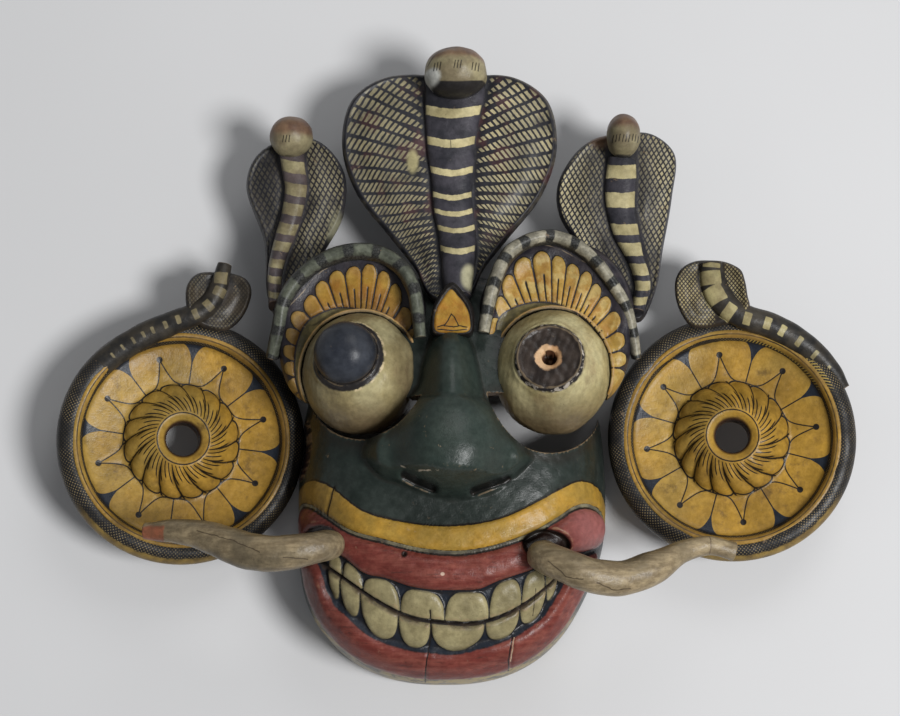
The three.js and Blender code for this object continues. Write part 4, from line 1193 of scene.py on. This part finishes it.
def headPaint(name):
    cobra = cobras[name]
    paint = Paint(name + " head paint")
    x, y = paint.spot()
    waver = paint.waver(110, 1.2, 4)
    tan = paint.mottled(60, (0.26, 0.225, 0.13), (0.16, 0.13, 0.078), 5)
    worn = paint.mottled(90, (0.17, 0.10, 0.06), (0.10, 0.05, 0.035), 5)
    colour = paint.mix(paint.ramp(paint.add(y, paint.times(waver, 1.6)), cobra["brownFrom"] - 2.5, cobra["brownFrom"] + 3.0, 0.0, 0.9), tan, worn)
    off = paint.times(paint.add(x, -cobra["head"][0]), 1 / cobra["headRadii"][0])
    collar = paint.add(y, paint.times(off, off, -4.0 if name == "centre" else -2.0))
    colour = paint.mix(paint.ramp(paint.add(collar, paint.times(waver, 0.25)), cobra["collar"] + 0.4, cobra["collar"] - 0.4), colour, (0.02, 0.018, 0.018))
    if name == "centre":
        colour = paint.mix(paint.patch(paint.add(x, waver), y, (-13, 197.5), (6, 5), 0.3), colour, (0.50, 0.50, 0.46))
        ring = paint.stroke(x, y, [(-15, 205), (-11, 211), (-4, 215.5), (4, 217)], 0.3)
        colour = paint.mix(ring, colour, (0.05, 0.03, 0.02))
    thin = paint.add(x, paint.waver(300, 0.25))
    for atX, atY in cobra["marks"]:
        for i in (-1, 0, 1):
            tall = cobra["markTall"]
            left = atX + i * 1.9
            colour = paint.mix(paint.stroke(thin, y, [(left - 0.4, atY - tall), (left + 0.3, atY + tall)], 0.28), colour, colours["line"])
    return paint.finish(colour, wear=0.3, grime=0.5, gloss=0.42)


for name in ("centre", "left", "right"):
    makeCobra(name)


# The ears

def earToRow(points, ear):
    tilt = math.radians(ear["tilt"])
    x = points[:, 0] * math.cos(tilt) + points[:, 2] * math.sin(tilt)
    z = -points[:, 0] * math.sin(tilt) + points[:, 2] * math.cos(tilt)
    return np.stack([x, points[:, 1], z], axis=1) + np.array(ear["at"], float)


def squaresInside(x, y, ear):
    # how far inside the nearest belly square of the ear's snake a spot lies
    inside = np.full(len(x), -9.0)
    squares = ear["squares"]
    for i, (atX, atY, wide, tall) in enumerate(squares):
        after = squares[min(i + 1, len(squares) - 1)]
        before = squares[max(i - 1, 0)]
        run = np.array([after[0] - before[0], after[1] - before[1]], float)
        run /= np.linalg.norm(run)
        along = (x - atX) * run[0] + (y - atY) * run[1]
        across = (x - atX) * run[1] - (y - atY) * run[0]
        inside = np.maximum(inside, np.minimum(tall - np.abs(along), wide - np.abs(across)))
    return inside


def makeEar(side):
    ear = ears[side]
    radius, hubRadius, lip, hole = ear["radius"], ears["hubRadius"], ears["lipRadius"], ears["holeRadius"]
    # the profile from the hole's back edge round to its front edge: radius and height from the rim
    corners = [(hole, -14), (radius - 6, -14), (radius - 2, -11), (radius - 0.5, -4), (radius - 1, 0.2), (radius - 3, 1), (radius - 5.2, 0.4),
               (radius - 6.2, -1.6), (radius - 8, -5.4), (radius - 14, -7.2), (hubRadius + 9, -8.6), (hubRadius + 0.6, -9),
               (hubRadius - 1.5, -5.5), (hubRadius - 6, -0.5), (hubRadius - 12, 5), (lip + 1.5, 8.6), (lip, 9), (lip - 1.2, 8), (hole + 1.2, 6.4),
               (hole, 4.2), (hole, -5)]
    profile, _ = routeThrough(corners + [corners[0]], fine=900)
    rowsAt = np.interp(np.linspace(0, 1, 400), [0, 0.22, 0.34, 0.90, 1], [0, 0.04, 0.12, 0.95, 1])

    def place(unit):
        angle = (unit[:, 0] + 0.5) * 2 * math.pi
        along = np.interp(unit[:, 1] + 0.5, np.linspace(0, 1, 400), rowsAt)
        r, height = profile(along).T
        back = height < -9.5
        swirl = angle * ears["flutes"] + (hubRadius - r) * 0.38
        onHub = eased((hubRadius + 1 - r) / 2) * eased((r - lip - 2) / 3) * (~back)
        flute = np.abs(np.sin(swirl / 2))
        r = r + onHub * (1.9 * flute - 0.9) * eased((r - lip) / 12)
        height = height + onHub * (1.6 * flute - 0.9)
        turnHere = angle - math.radians(ear["petalTurn"])
        off = np.abs(np.mod(turnHere / (2 * math.pi) * 8 + 0.5, 1) - 0.5) * 2
        star = 36 + 17 * (1 - off) ** 4.5
        slope = 76.5 * (1 - off) ** 3.5 / (r * 0.3927)
        onDish = (r > hubRadius - 0.5) & (r < 60) & (~back)
        height = height - np.where(onDish, 0.4 * bell(np.abs(r - star) / np.sqrt(1 + slope ** 2), 0.8), 0)
        points = np.stack([r * np.cos(angle), r * np.sin(angle), height], axis=1)
        points[:, 2] += np.where(back, 0, 0.3 * handWaver(points, 20, 61))
        fields = {"earX": r * np.cos(turnHere), "earY": r * np.sin(turnHere), "backSide": back.astype(float)}
        return earToRow(points, ear), fields

    disc = carve(side + "_ear_disc", sheetGrid(320, 120), place, weld=True)
    settle(disc, side + "_ear", earPaint(side))

    def placeRing(unit):
        angle = (unit[:, 0] + 0.5) * 2 * math.pi
        tube = (unit[:, 1] + 0.5) * 2 * math.pi
        r = radius + ears["tube"] * np.cos(tube)
        points = np.stack([r * np.cos(angle), r * np.sin(angle), -ears["ringDepth"] + ears["tube"] * np.sin(tube)], axis=1)
        points[:, 2] += 0.3 * handWaver(points, 18, 63)
        fields = {"ringTurn": np.abs(np.mod(angle / (2 * math.pi) + 0.25, 1) - 0.5) * 2 * math.pi * radius * 1.08,
                  "ringTube": np.abs(np.mod(tube / (2 * math.pi) + 0.5, 1) - 0.5) * 50, "earX": r * np.cos(angle), "earY": r * np.sin(angle)}
        return earToRow(points, ear), fields

    ring = carve(side + "_ear_snake", sheetGrid(240, 32), placeRing, weld=True)
    settle(ring, side + "_ear", earSnakePaint(side))

    outline, _ = routeThrough(ear["hood"], closed=True)
    middle = np.mean(np.array(ear["hood"], float), axis=0)
    spine = np.array([(x, y) for x, y, _, _ in ear["squares"][:4]])

    def placeHood(unit):
        turn, rise = turnAndRise(unit)
        share = np.sin(rise * math.pi)
        edge = outline(turn)
        flat = middle + (edge - middle) * share[:, None]
        x, y = flat.T
        edgeIn = (1 - share) * np.linalg.norm(edge - middle, axis=1)
        thick = 5 * np.sqrt(np.clip(1 - share ** 4, 0, 1))
        front = rise >= 0.5
        dish = np.where(front, 1.0 * bell(edgeIn - 2, 1.6) - 1.0 * bell(edgeIn - 7, 3), 0)
        z = 3 + 0.012 * (x - middle[0]) ** 2 + np.where(front, thick, -thick) + dish
        points = np.column_stack([flat, z])
        points[:, 2] += 0.3 * handWaver(points, 14, 65)
        fromSpine = np.abs(x - np.interp(y, spine[::-1, 1], spine[::-1, 0]))
        fields = {"earX": x, "earY": y, "edgeIn": edgeIn, "front": front.astype(float), "fromSpine": fromSpine, "squareIn": squaresInside(x, y, ear)}
        return earToRow(points, ear), fields

    hood = carve(side + "_ear_hood", ball(140, 90), placeHood)
    settle(hood, side + "_ear", earHoodPaint(side))

    def neckFields(points, fields):
        tilt = math.radians(ear["tilt"])
        off = points - np.array(ear["at"], float)
        x = off[:, 0] * math.cos(tilt) - off[:, 2] * math.sin(tilt)
        return {"earX": x, "earY": off[:, 1], "squareIn": np.where(fields["lift"] > 0, squaresInside(x, off[:, 1], ear), -9)}

    neckRoute = earToRow(np.array(ear["neck"], float), ear)
    thick = [4, 5, 6.5, 7, 7, 7, 6, 5, 4.4]
    neck = bar(side + "_ear_neck", neckRoute, ear["neckWide"], thick, along=170, seed=67, blunt=0.6, extra=neckFields)
    settle(neck, side + "_ear", neckPaint(side))


def earPaint(side):
    paint = Paint(side + " ear paint")
    earX, earY = paint.field("earX"), paint.field("earY")
    waver = paint.waver(430, 0.16)
    bareR = paint.length(earX, earY)
    r = paint.add(bareR, waver)
    eighths = paint.times(paint.sum("ARCTAN2", earY, earX), 4 / math.pi)
    off = paint.fromMiddle(paint.add(eighths, 8.5))
    nearDot = paint.sum("SUBTRACT", 1.0, off)
    gold = paint.mottled(42, colours["yellow"], (0.27, 0.155, 0.027), 5)
    gold = paint.mix(paint.ramp(paint.noise(100, 5, 0.7), 0.54, 0.72, 0.0, 0.6), gold, (0.17, 0.095, 0.025))
    gold = paint.mix(paint.ramp(paint.noise(18, 4, shift=4.0), 0.45, 0.65, 0.0, 0.45), gold, (0.33, 0.23, 0.06))
    gold = paint.mix(paint.ramp(paint.noise(60, 6, 0.7, shift=2.0), 0.56, 0.70, 0.0, 0.7), gold, (0.11, 0.065, 0.022))
    onDish = paint.times(paint.ramp(bareR, 34.4, 35.4), paint.ramp(bareR, 62, 61))
    star = paint.sum("MULTIPLY_ADD", paint.sum("POWER", nearDot, 4.5), 17.0, 36.0)
    slope = paint.sum("DIVIDE", paint.times(paint.sum("POWER", nearDot, 3.5), 76.5 / 0.3927), bareR)
    starGap = paint.sum("DIVIDE", paint.add(r, paint.times(star, -1)), paint.sum("SQRT", paint.sum("MULTIPLY_ADD", slope, slope, 1.0)))
    colour = paint.mix(paint.times(paint.line(starGap, 0.42), onDish), gold, colours["line"])
    spoke = paint.times(nearDot, bareR, 0.3927)  # along the ring from the line between two petals
    spokeFar = paint.times(off, bareR, 0.3927)  # and from the middle of a petal
    fromSpoke = paint.times(paint.add(paint.times(off, -1), 1.0), bareR, 0.3927)
    spokeLine = paint.times(paint.ramp(fromSpoke, 0.6, 0.25), paint.ramp(r, 36, 36.6), onDish)
    colour = paint.mix(spokeLine, colour, colours["line"])
    wedge = paint.add(r, paint.sum("MULTIPLY_ADD", paint.sum("POWER", off, 8.0), 14.0, -62.0))
    colour = paint.mix(paint.times(paint.ramp(wedge, -0.1, 0.4), onDish), colour, colours["navy"])
    dot = paint.length(spokeFar, paint.add(r, -53.0))
    colour = paint.mix(paint.times(paint.ramp(dot, 2.2, 1.7), onDish), colour, colours["line"])
    for at, half in ((61.4, 0.35), (64.6, 0.38), (ears["lipRadius"] + 0.6, 0.42)):
        colour = paint.mix(paint.line(paint.add(r, -at), half), colour, colours["line"])
    colour = paint.mix(paint.ramp(r, 66.4, 67.4), colour, colours["line"])
    rim = paint.times(paint.ramp(r, 61.6, 62.2), paint.ramp(r, 66.8, 66.2))
    colour = paint.mix(paint.times(rim, paint.ramp(paint.noise(60, 5), 0.35, 0.65, 0.1, 0.6)), colour, (0.20, 0.12, 0.04))
    # the hub's petals, each with a dark outline and curved hair strokes on its inner part
    onHub = paint.times(paint.ramp(bareR, 36.6, 36.0), paint.ramp(bareR, ears["lipRadius"] + 1.6, ears["lipRadius"] + 2.2))
    swirl = paint.sum("MULTIPLY_ADD", eighths, 2.0, paint.sum("MULTIPLY_ADD", bareR, -0.0605, 20.0 + 2 * ear0(side)))
    edge = paint.fromMiddle(paint.add(swirl, paint.waver(300, 0.03)))
    scallop = paint.add(bareR, paint.times(paint.sum("POWER", edge, 2.5), 2.2))
    colour = paint.mix(paint.times(paint.line(paint.add(scallop, -36.2), 0.45), paint.ramp(bareR, 30, 32)), colour, colours["line"])
    outline = paint.times(paint.ramp(edge, 0.86, 0.94), paint.ramp(bareR, 20, 22), paint.ramp(bareR, 36.4, 35.8))
    colour = paint.mix(outline, colour, colours["line"])
    hairs = paint.fromMiddle(paint.add(paint.times(swirl, 3.0), paint.times(bareR, -0.05)))
    hairs = paint.times(paint.ramp(hairs, 0.62, 0.8), onHub, paint.ramp(paint.add(bareR, paint.times(edge, -4.0)), 26.5, 24.5))
    colour = paint.mix(hairs, colour, colours["line"])
    # painted shade: the wall of the hub's hole is darkened
    colour = paint.mix(paint.ramp(bareR, ears["holeRadius"] + 2.0, ears["holeRadius"] + 0.2), colour, (0.05, 0.026, 0.015))
    colour = paint.mix(paint.ramp(paint.field("backSide"), 0.4, 0.6), colour, (0.15, 0.09, 0.045))
    return paint.finish(colour, wear=0.3, grime=0.5, gloss=0.38)


def ear0(side):
    # the hub's petals keep the disc's own turn
    return ears[side]["petalTurn"] / 45


def earSnakePaint(side):
    paint = Paint(side + " ear snake paint")
    along, tube = paint.field("ringTurn"), paint.field("ringTube")
    earX, earY = paint.field("earX"), paint.field("earY")
    first = paint.fromMiddle(paint.add(paint.times(paint.add(along, tube), 0.42), paint.waver(120, 0.12)))
    second = paint.fromMiddle(paint.add(paint.times(paint.add(along, paint.times(tube, -1)), 0.42), paint.waver(120, 0.12, 2)))
    dots = paint.times(paint.ramp(first, 0.5, 0.34), paint.ramp(second, 0.5, 0.34))
    dots = paint.times(dots, paint.ramp(paint.noise(60, 4), 0.38, 0.6, 0.2, 1.0))
    colour = paint.mix(dots, (0.014, 0.014, 0.015), (0.20, 0.15, 0.075))
    r = paint.length(earX, earY)
    low = paint.ramp(paint.add(earY, paint.times(earX, 0.2 if side == "left" else -0.25)), -50, -66)
    belly = paint.times(low, paint.ramp(paint.add(r, paint.waver(200, 0.7)), 73.2, 74.6))
    colour = paint.mix(belly, colour, paint.mottled(90, (0.24, 0.16, 0.045), (0.13, 0.085, 0.03)))
    if side == "right":
        strokes = paint.fromMiddle(paint.add(paint.times(paint.sum("ARCTAN2", earY, earX), 30.0), paint.times(r, 0.35)))
        upper = paint.times(paint.ramp(earY, 26, 36), paint.ramp(earX, 4, 14), paint.ramp(r, 70.5, 69.5))
        colour = paint.mix(paint.times(paint.ramp(strokes, 0.5, 0.3), upper), colour, (0.34, 0.24, 0.06))
    return paint.finish(colour, wear=0.3, grime=0.45, gloss=0.42)


def squareTone(paint, side):
    return paint.mottled(90, (0.33, 0.285, 0.14), (0.22, 0.18, 0.09)) if side == "right" else paint.mottled(90, (0.20, 0.165, 0.09), (0.12, 0.10, 0.06))


def earHoodPaint(side):
    paint = Paint(side + " ear hood paint")
    earX, earY = paint.field("earX"), paint.field("earY")
    bright = ears[side]["bright"]
    first = paint.fromMiddle(paint.add(paint.times(paint.add(earX, paint.times(earY, 0.8)), 0.42), paint.waver(90, 0.12)))
    second = paint.fromMiddle(paint.add(paint.times(paint.add(earX, paint.times(earY, -0.8)), 0.42), paint.waver(90, 0.12, 2)))
    marks = paint.times(paint.ramp(first, 0.72, 0.5), paint.ramp(second, 0.72, 0.5), paint.ramp(paint.field("edgeIn"), 0.8, 1.6))
    marks = paint.times(marks, paint.ramp(paint.field("fromSpine"), 7.5, 9.5), paint.ramp(paint.field("front"), 0.4, 0.6))
    marks = paint.times(marks, paint.ramp(paint.noise(60, 4), 0.32, 0.56, 0.3 * bright, bright))
    ground = paint.mottled(80, (0.020, 0.018, 0.017), (0.045, 0.035, 0.026))
    colour = paint.mix(marks, ground, (0.34, 0.28, 0.14) if side == "right" else (0.20, 0.17, 0.10))
    squares = paint.times(paint.ramp(paint.add(paint.field("squareIn"), paint.waver(240, 0.3)), -0.2, 0.3), paint.field("front"))
    colour = paint.mix(squares, colour, squareTone(paint, side))
    return paint.finish(colour, wear=0.4, grime=0.5, gloss=0.42)


def neckPaint(side):
    paint = Paint(side + " ear neck paint")
    colour = paint.mottled(110, (0.018, 0.017, 0.016), (0.040, 0.034, 0.026))
    squares = paint.ramp(paint.add(paint.field("squareIn"), paint.waver(240, 0.3)), -0.2, 0.3)
    colour = paint.mix(squares, colour, squareTone(paint, side))
    return paint.finish(colour, wear=0.35, grime=0.5, gloss=0.42)


for side in ("left", "right"):
    makeEar(side)


# The tusks

tusks = {
    "left": {
        "route": [(-76, -90, 74), (-74, -92, 97), (-86, -95, 104), (-104, -97.5, 104), (-121, -95.5, 100.5), (-140, -88.5, 95.5),
                  (-158, -84, 90), (-183, -83, 84.5)],
        "girth": [6, 9.5, 10.8, 11.6, 11.6, 10, 8, 5.6], "cracks": [[(-150, -84), (-128, -90), (-112, -97)], [(-98, -100), (-84, -101)]],
    },
    "right": {
        "route": [(56, -94, 74), (55, -99, 97), (67, -105, 105), (83, -110.5, 105), (100, -111.5, 100), (118, -105.5, 95.5),
                  (136, -96, 90), (152, -91.5, 85.5), (168, -95, 82)],
        "girth": [6, 9.5, 10.8, 11.4, 11.3, 10.7, 7.6, 6.3, 6.3], "cracks": [[(84, -115), (94, -118.5), (104, -118)], [(56, -102), (66, -111), (76, -113)]],
    },
}


def makeTusk(side):
    tusk = tusks[side]
    girth = tusk["girth"]

    def tipField(points, fields):
        return {"tipOut": np.max(fields["along"]) - fields["along"]}

    piece = bar(side + "_tusk_carving", tusk["route"], girth, [g * 0.9 for g in girth], around=56, along=220, up=(0, 1, 0.2),
                extra=tipField, waver=0.28, seed=71, blunt=0.8, boxy=0.88)
    paint = Paint(side + " tusk paint")
    x, y = paint.spot()
    grain = paint.noise(150, 6, 0.7, (0.2, 1.5, 1.5))
    ivory = paint.mix(paint.ramp(grain, 0.34, 0.66), (0.30, 0.235, 0.14), (0.16, 0.12, 0.07))
    grimy = (0.085, 0.07, 0.046) if side == "left" else (0.15, 0.12, 0.075)
    colour = paint.mix(paint.ramp(paint.noise(36, 5, shift=1.0), 0.42, 0.68, 0.0, 0.7), ivory, grimy)
    wavy = paint.add(y, paint.waver(130, 0.9))
    for route in tusk["cracks"]:
        colour = paint.mix(paint.times(paint.stroke(x, wavy, route, 0.3), 0.8), colour, (0.04, 0.026, 0.016))
    if side == "left":
        torn = paint.add(paint.field("tipOut"), paint.waver(120, 2.2, 4))
        torn = paint.times(paint.ramp(torn, 14.5, 13), paint.ramp(paint.add(y, paint.waver(160, 0.8)), -79.5, -81.5))
        colour = paint.mix(torn, colour, paint.mottled(150, (0.27, 0.095, 0.05), (0.19, 0.075, 0.04)))
    else:
        joint = paint.line(paint.add(paint.field("tipOut"), paint.add(-17.0, paint.waver(150, 0.8))), 0.3)
        colour = paint.mix(paint.times(joint, 0.7), colour, (0.06, 0.04, 0.03))
    return settle(piece, side + "_tusk", paint.finish(colour, wear=0.3, grime=0.4, gloss=0.36, relief=1.4))


for side in ("left", "right"):
    makeTusk(side)


# The stage: floor, studio light and the camera over the mask

stage = {
    "floor": (0.56, 0.56, 0.565), "world": 0.24,
    "keyFrom": (1.45, -0.6, 2.5), "keySize": 0.9, "keyPower": 88,
    "fillFrom": (0.6, 1.5, 1.7), "fillSize": 1.2, "fillPower": 11,
    "tilt": 8, "distance": 1300, "scale": 0.62, "target": (-1.2, 26, 50),
}


def makeFloor():
    bm = bmesh.new()
    bmesh.ops.create_grid(bm, x_segments=8, y_segments=8, size=4)
    mesh = bpy.data.meshes.new("floor")
    bm.to_mesh(mesh)
    bm.free()
    floor = bpy.data.objects.new("floor", mesh)
    floor.location.z = -0.0005
    scene.collection.objects.link(floor)
    paint = Paint("floor paper")
    tone = paint.mix(paint.ramp(paint.noise(3, 3), 0.3, 0.7), stage["floor"], tuple(c * 0.97 for c in stage["floor"]))
    paint.put(tone, paint.shader.inputs["Base Color"])
    paint.shader.inputs["Roughness"].default_value = 0.9
    mesh.materials.append(paint.material)


def makeLight(name, place, size, power):
    data = bpy.data.lights.new(name, "AREA")
    data.shape = "DISK"
    data.size = size
    data.energy = power
    light = bpy.data.objects.new(name, data)
    light.location = place
    light.rotation_euler = (Vector((0, 0, 0.04)) - Vector(place)).to_track_quat("-Z", "Y").to_euler()
    scene.collection.objects.link(light)


def makeCamera():
    tilt = math.radians(stage["tilt"])
    target = np.array(stage["target"], float)
    eye = target + stage["distance"] * np.array([0, -math.sin(tilt), math.cos(tilt)])
    data = bpy.data.cameras.new("camera")
    data.sensor_width = 36
    data.lens = 36 * stage["distance"] / stage["scale"] / 900
    camera = bpy.data.objects.new("camera", data)
    camera.location = toRow(eye[None])[0]
    camera.rotation_euler = (tilt, 0, 0)
    scene.collection.objects.link(camera)
    scene.camera = camera


makeFloor()
makeLight("key", stage["keyFrom"], stage["keySize"], stage["keyPower"])
makeLight("fill", stage["fillFrom"], stage["fillSize"], stage["fillPower"])
world = bpy.data.worlds.new("studio")
scene.world = world
world.use_nodes = True
world.node_tree.nodes["Background"].inputs[0].default_value = (0.95, 0.97, 1.0, 1)
world.node_tree.nodes["Background"].inputs[1].default_value = stage["world"]
makeCamera()
print("stage ready")
